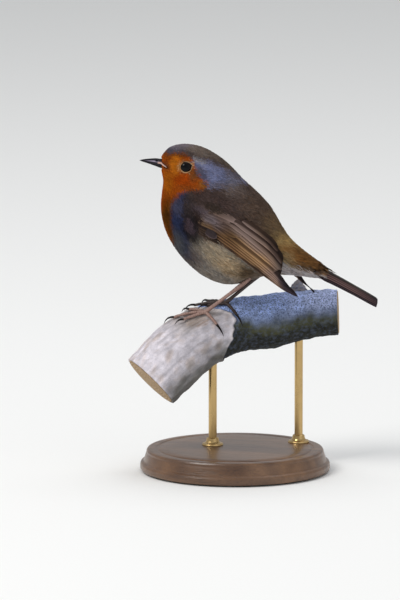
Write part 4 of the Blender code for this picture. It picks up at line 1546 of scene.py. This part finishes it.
@dataclass
class Bill:
    """The slim bill: two mandibles, its nostrils and the soft corners of the mouth."""

    rows: tuple[tuple[float, ...], ...] = (  # x, culmen z, cutting edge z, keel z, half width
        (-33.2, 152.2, 149.8, 146.9, 2.3),
        (-36.4, 152.1, 150.1, 147.6, 2.1),
        (-38.4, 152.3, 150.4, 148.3, 1.75),
        (-41.2, 152.2, 150.75, 149.3, 1.3),
        (-44.2, 151.9, 151.1, 150.3, 0.8),
        (-46.2, 151.45, 151.2, 150.95, 0.3),
        (-46.5, 151.3, 151.2, 151.1, 0.04),
    )
    nostril: tuple[float, float] = (-38.1, 151.15)
    gape_line: tuple[Colour, ...] = ((-37.6, 1.95, 150.3), (-35.9, 2.8, 150.3), (-34.4, 4.2, 149.6), (-33, 5.4, 148.7))
    gape_lift: float = 0.3
    overbite: float = 0.5
    gap: float = 0.06
    dark: Colour = (0.008, 0.007, 0.01)
    hole: Colour = (0.008, 0.006, 0.008)
    # painted highlight: the pale streak along each side of the bill
    streak: Colour = (0.3, 0.26, 0.34)
    gape: Colour = (0.52, 0.34, 0.29)
    mouth: Colour = (0.08, 0.02, 0.014)

    def build(self, surface: Surface) -> None:
        """Makes the bill's pieces, and lays the corners of the mouth on the face."""
        for name in ("upper", "lower"):
            upper = name == "upper"
            form = Form(f"bill_{name}_horn")
            form.sheet(44, 60, lambda u, v: self.horn(u, v, upper), lambda u, v: self.tint(u, v, upper))
            form.leave(HornFinish("bill_horn_polish"), Slot.HORN, (f"bill_{name}",), 60)
        form = Form("gape_corners")
        for side in Side:
            line = self.on_face(on_side(side, self.gape_line), surface)
            form.tube(line, (0.3, 0.5, 0.42, 0.14), self.gape, 14, 20)
            form.tube(line + (0, side.value * 0.05, 0.5), (0.08, 0.2, 0.24, 0.1), self.mouth, 12, 20)
        form.leave(BareSkinFinish("gape_skin"), Slot.FACE)

    def on_face(self, line: Array, surface: Surface) -> Array:
        """A line lifted out of the face wherever it would sink into it."""
        face, normals = surface.nearest(line)
        sunk = self.gape_lift - ((line - face) * normals).sum(axis=1, keepdims=True)
        return line + normals * np.maximum(sunk, 0) * (line[:, :1] > line[0, 0] + 1)

    def holds(self, points: Array) -> Array:
        """Which places of the skin are taken by the bill's root and the corners of the mouth."""
        straight = straighten(points)
        rows = np.array(self.rows)[::-1]
        culmen, keel, half = (np.interp(straight[:, 0], rows[:, 0], rows[:, k]) for k in (1, 3, 4))
        inside = (straight[:, 0] < -34.6) & (straight[:, 2] < culmen) & (straight[:, 2] > keel)
        inside &= np.abs(straight[:, 1]) < half + 0.3
        corners = spline(self.gape_line, np.linspace(0, 3, 16))
        nearest = np.min([lengths(straight * (1, side.value, 1) - spot) for side in Side for spot in corners], axis=0)
        return inside | (nearest < 0.75)

    def section(self, u: Array, v: Array, upper: bool) -> tuple[Array, Array]:
        """Points of one mandible, with the head straight, and the rows of sizes there."""
        rows = spline(self.rows, v * (len(self.rows) - 1))
        x, culmen, edge, keel, half = rows.T
        angle = np.interp(u, (0, 0.72, 1), (-90, 90, 90)) * math.pi / 180
        floor = edge + (self.gap if upper else -self.gap)
        height = culmen - floor if upper else keel - floor
        y = np.where(u < 0.72, np.sin(angle), 1 - 2 * (u - 0.72) / 0.28) * half
        z = floor + height * np.clip(np.cos(angle), 0, 1) ** (1.12 if upper else 0.8)
        return stack(x if upper else x + self.overbite * v, y, z), rows

    def horn(self, u: Array, v: Array, upper: bool) -> Array:
        """Points of one mandible, where the bird holds it."""
        points, _ = self.section(u, v, upper)
        if upper:
            points[:, 1] -= np.sign(points[:, 1]) * 0.38 * self.near_nostril(points, 0.75, 0.34)
        return turn_head(points)

    def near_nostril(self, points: Array, length: float, height: float) -> Array:
        """1 in the nostril and 0 away from it."""
        away = np.hypot((points[:, 0] - self.nostril[0]) / length, (points[:, 2] - self.nostril[1]) / height)
        return soft_step(1.3, 0.5, away) * (np.abs(points[:, 1]) > 0.5)

    def tint(self, u: Array, v: Array, upper: bool) -> Array:
        """The horn's colours: dark, with a painted highlight as a pale streak along each side."""
        points, rows = self.section(u, v, upper)
        _, culmen, edge, keel, _ = rows.T
        z = points[:, 2]
        if upper:
            level = (z - edge) / np.maximum(culmen - edge, 0.05)
            pale = soft_step(0.02, 0.18, level) * soft_step(0.62, 0.34, level)
        else:
            level = (edge - z) / np.maximum(edge - keel, 0.05)
            pale = 0.06 * soft_step(0, 0.2, level) * soft_step(0.6, 0.3, level)
        pale = pale * soft_step(0.7, 0.42, v) * (0.25 + 0.75 * soft_step(0.1, 0.26, v))
        colour = over(self.dark, self.streak, pale)
        return over(colour, self.hole, self.near_nostril(points, 0.8, 0.36)) if upper else colour


@dataclass
class Eye:
    """One eye: the ball, the bare margin of its lids and the ring of tiny pale feathers round them."""

    side: Side
    opening: tuple[float, float] = (3.4, 2.52)
    stretch: float = 1.13
    forward: float = 0.24
    pupil: Colour = (0.003, 0.003, 0.004)
    iris: Colour = (0.008, 0.004, 0.003)
    lid: Colour = (0.012, 0.009, 0.009)
    ring: Colour = (0.6, 0.4, 0.22)

    def build(self) -> None:
        """Makes the eye's pieces."""
        word = self.side.word
        ball = Form(f"eyeball_{word}")
        ball.sheet(56, 40, self.ball, self.ball_colours)
        ball.leave(EyeFinish("wet_eye"), Slot.EYE, (f"eye_{word}",))
        lids = Form(f"eyelid_{word}")
        lids.sheet(12, 96, lambda u, v: self.rim(u, v, 0, 0.17, 0.05, 40), self.lid)
        lids.sheet(14, 160, lambda u, v: self.rim(u, v, 0.46, 0.24, 0.3, 34), self.ring)
        lids.leave(BareSkinFinish("lid_skin", roughness=0.6), Slot.FACE)

    def set_in(self, back: Array, up: Array, out: Array) -> Array:
        """Points set in the head, from their distances back, up and out of the eye's centre."""
        way_out = np.array([-self.forward, self.side.value, 0.02])
        way_out = unit(turn_head(way_out + NECK_PIVOT) - turn_head(NECK_PIVOT))
        way_back = unit(np.cross(UP, way_out))
        way_back = way_back * np.sign(way_back[0])
        return on_side(self.side, EYE_CENTRE) + np.outer(back, way_back) + np.outer(up, UP) + np.outer(out, way_out)

    def ball(self, u: Array, v: Array) -> Array:
        """Points of the ball, its cornea standing a little proud."""
        turn, dip = u * math.tau, v * math.pi
        radius = EYE_RADIUS * (1 + 0.035 * soft_step(0.9, 0.2, dip))
        flat = np.sin(dip) * radius
        return self.set_in(flat * self.stretch * np.cos(turn), flat * np.sin(turn), np.cos(dip) * radius)

    def ball_colours(self, u: Array, v: Array) -> Array:
        """Black pupil, dark brown iris."""
        return over(self.pupil, self.iris, soft_step(0.62, 0.7, v * math.pi) * soft_step(1.25, 1.1, v * math.pi))

    def rim(self, u: Array, v: Array, wider: float, radius: float, beads: float, count: int) -> Array:
        """A ring round the eye's opening, resting on the ball.

        Args:
            u: Shares round the ring's own section.
            v: Shares round the eye.
            wider: How far outside the opening it runs.
            radius: How thick it is.
            beads: How strongly it is beaded.
            count: How many beads it has.

        Returns:
            The points.
        """
        turn, section = v * math.tau, u * math.tau
        flat = stack((self.opening[0] + wider) * np.cos(turn), (self.opening[1] + wider) * np.sin(turn))
        dip = np.minimum(lengths(flat / (self.stretch, 1)), 3)
        rise = np.sqrt(np.maximum((EYE_RADIUS + 0.06) ** 2 - dip**2, 0.2)) - 0.25 * wider
        thick = radius * (1 + beads * np.sin(turn * count) ** 2)
        back, up = (flat + unit(flat) * (thick * np.cos(section) * 1.25)[:, None]).T
        return self.set_in(back, up, rise + np.sin(section) * thick)


# --- Branch and legs ---


@dataclass
class Branch:
    """The cut length of branch. Stations count its rows; degrees run from its top towards the bird's left."""

    rows: tuple[tuple[float, ...], ...] = (  # centre, radius
        (-38, -15.5, 44.2, 15.4),
        (-28.8, -8.5, 54.9, 15.4),
        (-20.7, -1.5, 62, 14.9),
        (-12, 5.5, 66.8, 14.2),
        (-1.5, 12.5, 69.9, 13.4),
        (10.8, 18.5, 70.6, 13.2),
        (21.4, 23.5, 72.8, 12.1),
        (31.9, 27.5, 74.5, 11.4),
        (42.6, 30.5, 75, 11.3),
    )
    bumps: float = 0.025
    row_step: float = 12.5  # about how many millimetres apart the rows are
    collar: Line = (  # degrees, station where the pale bark ends
        (-180, 2.75), (-70, 2.55), (-20, 2.5), (5, 2.72), (25, 3.1), (45, 3.5), (66, 3.64), (86, 3.5), (104, 3.26),
        (118, 2.95), (140, 2.75), (180, 2.75),
    )
    pale: Colour = (0.64, 0.6, 0.65)
    pale_warm: Colour = (0.56, 0.47, 0.44)
    pale_rubbed: Colour = (0.4, 0.35, 0.31)
    pale_shaded: Colour = (0.13, 0.13, 0.115)
    lip: Colour = (0.7, 0.65, 0.67)
    crack: Colour = (0.03, 0.035, 0.045)
    scar: Colour = (0.36, 0.24, 0.19)
    blue: Colour = (0.4, 0.53, 0.95)
    lavender: Colour = (0.5, 0.57, 0.86)
    shaded: Colour = (0.13, 0.155, 0.22)
    # partly painted shade: the olive and near-black underside colours, partly the bark's own colour
    green: Colour = (0.064, 0.066, 0.03)
    dark: Colour = (0.018, 0.018, 0.01)
    bud: Colour = (0.24, 0.215, 0.22)
    rings: int = 250
    facets: int = 176

    def frame(self, at: Array) -> tuple[Array, ...]:
        """Centres, radii and the along, up and left directions at stations."""
        rows = spline(self.rows, at)
        along = unit(spline(self.rows, at + 0.05)[..., :3] - spline(self.rows, at - 0.05)[..., :3])
        left = unit(np.cross(along, UP))
        return rows[..., :3], rows[..., 3], along, np.cross(left, along), left

    def radius(self, at: Array, angle: Array) -> Array:
        """The branch's radius with its slow swellings."""
        wave = np.sin(2 * angle + 1.3 * at) + 0.6 * np.sin(3 * angle - 2.1 * at + 1)
        return self.frame(at)[1] * (1 + self.bumps * wave)

    def on(self, at: Array, degrees: Array, lift: Array, share: Array = 1) -> Array:
        """Points over the bark, or at a share of the way out to it."""
        at, angle = np.asarray(at, float), np.radians(degrees)
        middle, _, _, up, left = self.frame(at)
        out = up * np.cos(angle)[..., None] + left * np.sin(angle)[..., None]
        return middle + out * np.asarray((self.radius(at, angle) + lift) * share)[..., None]

    def walk(self, start: tuple[float, float], heading: float, length: float,
             lifts: Sequence[float]) -> tuple[Array, tuple[float, float]]:
        """Points over the bark along an even spiral.

        Args:
            start: The station and degrees that it leaves from.
            heading: Degrees off the branch's own direction towards its low end.
            length: How far it goes.
            lifts: The height over the bark of each point.

        Returns:
            The points, and the place where it ends.
        """
        at, degrees = start
        turn, step = math.radians(heading), length / (len(lifts) - 1)
        points = [self.on(at, degrees, lifts[0])]
        for lift in lifts[1:]:
            stretch = np.linalg.norm(self.frame(np.array(at + 0.05))[0] - self.frame(np.array(at - 0.05))[0]) / 0.1
            at -= step * math.cos(turn) / stretch
            degrees += math.degrees(step * math.sin(turn) / float(self.radius(np.array(at), math.radians(degrees))))
            points.append(self.on(at, degrees, lift))
        return np.array(points), (at, degrees)

    def build(self) -> None:
        """Makes the bark, the sawn ends and the bud stub."""
        form = Form("bark")
        form.sheet(self.facets, self.rings, self.bark, self.bark_colours, self.fleck_strength, capped=False)
        form.leave(BarkFinish("old_bark"), Slot.BARK, ("perch",), 50)
        form = Form("sawn_ends")
        for end, way in ((0, -1), (len(self.rows) - 1, 1)):
            form.sheet(96, 24, lambda u, v: self.plug(u, v, end, way), (0.5, 0.4, 0.3))
        form.leave(SawnFinish("sawn_wood"), Slot.BARK)
        form = Form("bud_stub")
        line = self.on((6.42, 6.47, 6.52, 6.57), (-19, -21, -23, -25), (-1.5, 1.6, 4.2, 6.2))
        form.tube(line, (5.2, 3.8, 2, 0.5), self.bud, 32, 24,
                  lambda u, v: 1 + 0.07 * np.sin(u * math.tau * 5) + 0.05 * np.sin(v * 31), tone=0.7)
        form.leave(BarkFinish("old_bark"), Slot.BARK)

    def spread(self, u: Array, v: Array) -> tuple[Array, ...]:
        """Places on the bark.

        Args:
            u: Shares round it.
            v: Shares along it, ends included.

        Returns:
            Stations, degrees, degrees from -180 to 180, shares out from the middle, which close both ends, and
            how many millimetres past the pale bark's end the places are.
        """
        turn_in = 0.03
        at = np.clip((v - turn_in) / (1 - 2 * turn_in), 0, 1) * (len(self.rows) - 1)
        degrees = u * 360
        turns = (degrees + 180) % 360 - 180
        wobble = 0.05 * np.sin(turns * 0.13) + 0.03 * np.sin(turns * 0.37 + 1)
        past = (at - read(self.collar, turns) - wobble) * self.row_step
        return at, degrees, turns, np.clip(np.minimum(v, 1 - v) / turn_in, 0, 1), past

    def bark(self, u: Array, v: Array) -> Array:
        """Points of the bark, with its relief."""
        at, degrees, turns, share, past = self.spread(u, v)
        smooth = self.on(at, degrees, 0)
        lip = 0.55 * np.exp(-(((past + 0.9) / 0.9) ** 2)) - 0.35 * soft_step(-0.2, 0.5, past) * soft_step(5, 0.5, past)
        fibres = Grain(1.6, 31, 12)(stack(at * 2.2, u * 60, 0))
        lumps = Grain(5, 32, 10)(smooth)
        grit = Grain(0.9, 33, 12)(smooth)
        knobs = soft_step(0.5, 1.6, Grain(2.6, 34, 9)(smooth)) * soft_step(0, 1, past)
        ridges = self.scar_share(at, turns) * (0.22 * np.sin(degrees * 0.95 + 3 * at) - 0.12)
        relief = lip + 0.1 * fibres + 0.16 * lumps + 0.05 * grit + 0.16 * knobs + ridges
        return self.on(at, degrees, relief - 0.1, share)

    def scar_share(self, at: Array, turns: Array) -> Array:
        """1 in the healed scar on the pale bark, and 0 away from it."""
        away = np.hypot((at - 2.3) / 0.42, (turns - 38 - 14 * (at - 2.3)) / 15)
        return soft_step(1.25, 0.7, away + 0.12 * np.sin(turns * 0.5) * np.sin(at * 17))

    def bark_colours(self, u: Array, v: Array) -> Array:
        """The bark's zones, with painted shade on its underside."""
        at, degrees, turns, share, past = self.spread(u, v)
        smooth = self.on(at, degrees, 0)
        drift, patch = Grain(7, 41)(smooth), Grain(3, 42)(smooth)
        past = past + 0.25 * patch
        side = np.abs(turns - 4)
        # painted shadow: for 14 mm past the pale bark's end the dark underside zones reach higher up
        low = side + 24 * soft_step(14, 0, past)
        blue = over(self.blue, self.lavender, soft_step(5, 7.4, at + 0.25 * drift) * 0.9)
        blue = over(blue, self.shaded, soft_step(46, 82, side + 5 * drift) * 0.95)
        blue = over(blue, self.green, soft_step(70, 98, low + 5 * drift))
        blue = over(blue, self.dark, soft_step(92, 118, low + 6 * drift))
        pale = over(self.pale, self.pale_warm, 0.7 * soft_step(0.1, 1.2, drift) + 0.4 * soft_step(0.4, 1.4, patch))
        pale = over(pale, self.scar, self.scar_share(at, turns) * (0.65 + 0.35 * np.sin(degrees * 0.95 + 3 * at)))
        pale = pale * (1.1 - 0.22 * soft_step(0.3, 2.2, at))[:, None]
        pale = over(pale, self.pale_rubbed, 0.6 * soft_step(1.2, 2, at) * soft_step(60, 30, side))
        pale = over(pale, self.pale_shaded, 0.9 * soft_step(84, 128, side + 6 * drift))
        colour = over(pale, self.lip, np.exp(-(((past + 1) / 0.8) ** 2)) * 0.7 * (side < 110))
        colour = over(colour, blue, soft_step(-0.25, 0.25, past))
        colour = over(colour, self.crack, np.exp(-(((past - 0.35) / 0.45) ** 2)) * 0.8)
        return colour * (0.35 + 0.65 * soft_step(0.8, 1, share))[:, None]

    def fleck_strength(self, u: Array, v: Array) -> Array:
        """How strongly flecks of alga show: hardly on the pale bark, and well on the blue-grey."""
        _, _, turns, _, past = self.spread(u, v)
        return 0.1 + 0.8 * soft_step(-0.5, 1.5, past) * (0.25 + 0.75 * soft_step(90, 60, np.abs(turns - 4)))

    def plug(self, u: Array, v: Array, end: float, way: float) -> Array:
        """Points of the wood that shows at a sawn end: a plug just inside the bark."""
        at = np.full(len(u), end)
        middle, _, along, _, _ = self.frame(at)
        share = np.interp(v, (0, 0.9, 0.94, 1), (0, 0.93, 0.94, 0))
        depth = np.interp(v, (0, 0.88, 0.92, 0.95, 1), (0.3, 0.3, 0.1, -1.5, -1.5)) * way
        return middle + (self.on(at, u * 360, -0.1) - middle) * share[:, None] + along * depth[:, None]


@dataclass
class Leg:
    """One leg below its feathers: the scaly shank, the foot, its toes and their claws."""

    side: Side
    branch: Branch
    shade: float
    ankle: Colour
    sole: tuple[float, float]
    headings: dict[str, float]
    lift: float = 1.15  # how high the toes' middle lies over the bark
    toe_radius: float = 0.85
    hidden: float = 4.2  # how far the shank runs up among the thigh's feathers
    shank_radii: tuple[float, ...] = (0.7, 1.15, 0.92, 0.86, 0.9, 1.1)
    toes: tuple[tuple[str, float, float, int], ...] = (  # name, toe length, claw length, joints
        ("middle", 14, 4.6, 3), ("inner", 8.5, 3.8, 2), ("outer", 10, 3.8, 4), ("hind", 9, 5.6, 1),
    )
    steps: int = 8
    skin: Colour = (0.32, 0.2, 0.168)
    # also used as painted shade on the underside of the shank and toes
    seam: Colour = (0.13, 0.065, 0.05)
    claw: Colour = (0.014, 0.011, 0.011)

    def build(self) -> None:
        """Makes the shank, the foot and the claws."""
        word = self.side.word
        sole, ankle = self.branch.on(*self.sole, self.lift), np.array(self.ankle)
        down = unit(sole - ankle)
        top = ankle - down * self.hidden
        last = len(self.shank_radii) - 1
        line = np.array([top + (sole + down * 0.1 - top) * k / last for k in range(last + 1)])
        shank, foot, claws = (Form(f"{part}_{word}") for part in ("shank", "toes", "claws"))
        shank.tube(line, self.shank_radii, lambda u, v: self.scaled_skin(u, v, 17), 28, 150,
                   lambda u, v: 1 + self.scutes(u, v, 17, 0.055))
        shank.leave(BareSkinFinish("leg_scales"), Slot.LEG, (f"tarsus_{word}",))
        radii = self.toe_radius * (1.06 - 0.34 * np.linspace(0, 1, self.steps + 1))
        for name, length, claw_length, joints in self.toes:
            line, place = self.branch.walk(self.sole, self.headings[name], length, [self.lift] * (self.steps + 1))
            foot.tube(line, radii, lambda u, v: self.scaled_skin(u, v, length * 1.1), 24, 84,
                      lambda u, v: self.pads(v, joints) + self.scutes(u, v, length * 1.1, 0.07))
            self.add_claw(claws, place, self.headings[name], claw_length)
        foot.sheet(28, 18, lambda u, v: sole + self.knuckle(u, v) * 1.35, np.array(self.skin) * self.shade)
        foot.leave(BareSkinFinish("leg_scales"), Slot.LEG, (f"foot_{word}",))
        nodes = [f"claw_{word}_{name}" for name, *_ in self.toes]
        claws.leave(HornFinish("claw_horn_polish", roughness=0.3), Slot.CLAW, nodes)

    def scutes(self, u: Array, v: Array, count: float, height: float) -> Array:
        """The overlapping plates down the front, as a share of the radius."""
        step = (v * count) % 1
        return height * (1 - step) ** 0.5 * soft_step(0.32, 0.2, np.minimum(u, 1 - u)) - height * 0.5

    def pads(self, v: Array, joints: int) -> Array:
        """The toe's swellings between its joints."""
        return 1 - 0.1 * np.cos(v * math.tau * (joints + 1))

    def scaled_skin(self, u: Array, v: Array, count: float) -> Array:
        """Bare skin, darker in the seams between its plates, with the seam colour also painted as shade underneath."""
        step, behind = (v * count) % 1, np.minimum(u, 1 - u)
        seam = 0.6 * (soft_step(0.82, 0.98, step) + soft_step(0.1, 0, step)) * soft_step(0.42, 0.25, behind)
        return over(self.skin, self.seam, np.maximum(seam, 0.75 * soft_step(0.26, 0.46, behind))) * self.shade

    def knuckle(self, u: Array, v: Array) -> Array:
        """Points of the ball of the foot, one unit in radius."""
        turn, dip = u * math.tau, v * math.pi
        return stack(np.sin(dip) * np.cos(turn), np.sin(dip) * np.sin(turn), np.cos(dip) * 0.85)

    def add_claw(self, form: Form, place: tuple[float, float], heading: float, length: float) -> None:
        """Adds a claw that goes on from its toe, arches over and comes down to the bark."""
        shares = np.linspace(0, 1, self.steps + 1)
        lifts = self.lift * (1 - 0.7 * shares**2) + 0.9 * np.sin(math.pi * shares)
        _, start = self.branch.walk(place, heading, -0.7, [0, 0])
        line, _ = self.branch.walk(start, heading, length + 0.9, lifts)
        form.tube(line, 0.6 * (1 - 0.9 * shares**1.3), self.claw, 18, 40)


# --- Stand and studio ---


@dataclass
class Stand:
    """The display stand: a turned wooden base on felt, and two brass rods up to the branch."""

    height: float = 11
    wood: Line = (  # all profiles are (radius, height), from one end of the axis to the other
        (0, 0.6), (44.6, 0.6), (45.6, 0.9), (46, 1.8), (46, 3.6), (45.6, 4.5), (44.9, 4.9), (44.4, 5.1), (44.2, 5.6),
        (43.9, 6.6), (43.4, 8.2), (43, 9.2), (42.9, 10.1), (42.4, 10.8), (41.4, 11), (38.6, 11), (38.2, 10.75),
        (37.7, 10.7), (37.2, 10.75), (36.8, 11), (0, 11),
    )
    felt: Line = ((0, 0), (43.6, 0), (44, 0.3), (44, 0.8), (0, 0.8))
    cup: Line = (  # over the base
        (0, -0.3), (5, -0.3), (5.2, 0.2), (4.9, 0.9), (3.7, 1.2), (3.2, 1.9), (2.9, 3.4), (2.5, 3.7), (0, 3.7),
    )

    def build(self) -> None:
        """Makes the stand's pieces."""
        for name, profile, finish, replaced in (
                ("wood", self.wood, TurnedWoodFinish("waxed_wood"), ("stand_base",)),
                ("felt", self.felt, FeltFinish("felt"), ())):
            form = Form(f"stand_base_{name}")
            form.sheet(160, 6 * (len(profile) - 1), lambda u, v: self.spun(u, v, profile), (0.3, 0.2, 0.1))
            form.leave(finish, Slot.WOOD, replaced, 35)
        for node in ("stand_rod_front", "stand_rod_rear"):
            low, high = np.array(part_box(node)) / MM
            axis, radius, foot = (low + high)[:2] / 2, (high - low)[0] / 2, self.height - 3
            rod = ((0, foot), (radius, foot), (radius, high[2]), (0, high[2]))
            form = Form(f"{node}_brass")
            for around, along, profile in ((40, 60, rod), (56, 40, np.array(self.cup) + (0, self.height))):
                form.sheet(around, along, lambda u, v: self.spun(u, v, profile, *axis), (0.6, 0.4, 0.2))
            form.leave(BrassFinish("brass"), Slot.METAL, (node,))

    def spun(self, u: Array, v: Array, profile: Line, x: float = 0, y: float = 0) -> Array:
        """Points of an outline of (radius, height) turned about an upright axis at (x, y)."""
        marks = np.arange(len(profile))
        out, height = (np.interp(v * marks[-1], marks, row) for row in np.transpose(profile))
        return stack(x + out * np.cos(u * math.tau), y + out * np.sin(u * math.tau), height)


@dataclass
class Studio:
    """Plain pale paper, soft light, and the camera."""

    azimuth: float = math.radians(18)
    elevation: float = math.radians(9)
    distance: float = 3
    frame_height: float = 291  # what the camera sees, in millimetres
    aim: tuple[float, float] = (-17, 82.5)  # its middle, along the camera's own right and up, in millimetres
    sensor: float = 36
    paper: float = 6
    lamps: tuple[tuple[str, Colour, float, float, Colour], ...] = (  # name, place, size, power, colour
        ("key", (-1, -1.2, 1.8), 0.9, 26, (1, 0.98, 0.95)),
        ("fill", (1.4, -0.9, 0.7), 1.4, 2.5, (0.95, 0.97, 1)),
        ("top", (0.1, 0.5, 1.9), 1.2, 10, (0.97, 0.98, 1)),
    )

    def build(self) -> None:
        """Sets up the paper, the lights and the camera."""
        size = self.paper / MM
        paper = Form("paper_backdrop")
        paper.sheet(8, 8, lambda u, v: stack((u - 0.5) * size, (v - 0.5) * size, 0), (0.7, 0.7, 0.7), closed=False)
        paper.shown(BackdropFinish("backdrop_paper"))
        world = bpy.data.worlds.new("surround")
        world.use_nodes = True
        shader = next(node for node in world.node_tree.nodes if node.type == "BACKGROUND")
        shader.inputs["Color"].default_value = (0.96, 0.98, 1, 1)
        shader.inputs["Strength"].default_value = 0.5
        bpy.context.scene.world = world
        for name, place, size, power, colour in self.lamps:
            data = bpy.data.lights.new(name, "AREA")
            data.size, data.energy, data.color = size, power, colour
            self.aimed(placed(name, data), place, Vector((0, 0, 0.11)) - Vector(place))
        self.camera()
        bpy.context.scene.view_settings.view_transform = "Standard"

    def aimed(self, thing: Object, place: Sequence[float], way: Vector) -> None:
        """Puts a light or the camera in its place, looking along a way."""
        thing.location = place
        thing.rotation_mode = "QUATERNION"
        thing.rotation_quaternion = way.to_track_quat("-Z", "Y")

    def camera(self) -> None:
        """The camera, from the bird's left and a little behind and above it."""
        cos, sin = math.cos(self.azimuth), math.sin(self.azimuth)
        right = Vector((cos, sin, 0))
        back = Vector((sin * math.cos(self.elevation), -cos * math.cos(self.elevation), math.sin(self.elevation)))
        data = bpy.data.cameras.new("camera")
        data.sensor_width = self.sensor
        data.lens = self.sensor * self.distance / (self.frame_height * MM)
        data.clip_start, data.clip_end = 0.1, 30
        place = right * self.aim[0] * MM + back.cross(right) * self.aim[1] * MM + back * self.distance
        bpy.context.scene.camera = placed("camera", data)
        self.aimed(bpy.context.scene.camera, place, -back)


# --- The whole model ---


def grow_coat(surface: Surface, wings: Sequence[Wing], bill: Bill, lie: Lie, markings: Markings) -> None:
    """Grows the coat over the skin, up to the bill, the eyes and the wings' vanes.

    Args:
        surface: The skin's surface.
        wings: Both wings.
        bill: The bill.
        lie: The lie of the plumage.
        markings: Its colours.
    """
    coat = Coat(lie, markings, LockShape())
    roots, normals = surface.scatter(coat.density, 101)
    bare = (lie.eye_distance(roots) < EYE_RADIUS + 0.3) | bill.holds(roots)
    bare |= (roots[:, 0] > 43.5) | ((roots[:, 0] > 38) & (normals[:, 0] > 0.42))
    for wing in wings:
        bare |= wing.face.covers(roots)
    roots, normals = roots[~bare], normals[~bare]
    straight = straighten(roots)
    height, x = straight @ NECK_AXIS, roots[:, 0]
    high, low = height > 139, height <= 124
    middle = ~high & ~low
    regions = (
        ("crown", high & (x >= -27), Slot.FACE),
        ("face", high & (x < -27), Slot.FACE),
        ("neck", middle & (x < -12), Slot.FACE),
        ("mantle", middle & (x >= -12), Slot.OLIVE),
        ("breast", low & (x < -8), Slot.OLIVE),
        ("belly", low & (x >= -8) & (x < 24), Slot.OLIVE),
        ("rump", low & (x >= 24), Slot.RUFOUS),
    )
    seed = 200
    for name, inside, slot in regions:
        for side in Side:
            chosen = inside & (np.sign(straight[:, 1] + 1e-9) == side.value)
            seed += 1
            coat.grow(f"coat_{name}_{side.word}", surface, slot, roots[chosen], normals[chosen], seed)


def main() -> None:
    """Builds the model in order, and reports each piece."""
    logging.basicConfig(level=logging.INFO, format="%(message)s")
    lie, markings = Lie(), Markings()
    skin = Skin().build(lie, markings)
    wings = [Wing(side) for side in Side]
    for wing in wings:
        wing.build()
        Eye(wing.side).build()
    surface = Surface(skin)
    bill = Bill()
    bill.build(surface)
    grow_coat(surface, wings, bill, lie, markings)
    Tail().build()
    branch = Branch()
    branch.build()
    Leg(Side.LEFT, branch, 1, (6.9, -7, 93.2), (2.72, 31),
        {"middle": -35, "inner": -58, "outer": -14, "hind": 101}).build()
    # painted shade: the far leg's skin is painted much darker than the near leg's, as if in shadow
    Leg(Side.RIGHT, branch, 0.15, (12.6, 7.6, 97.4), (3.53, 27),
        {"middle": -35, "inner": -18, "outer": -56, "hind": 107}).build()
    Stand().build()
    Studio().build()
    bpy.context.view_layer.update()


if __name__ == "__main__":
    main()
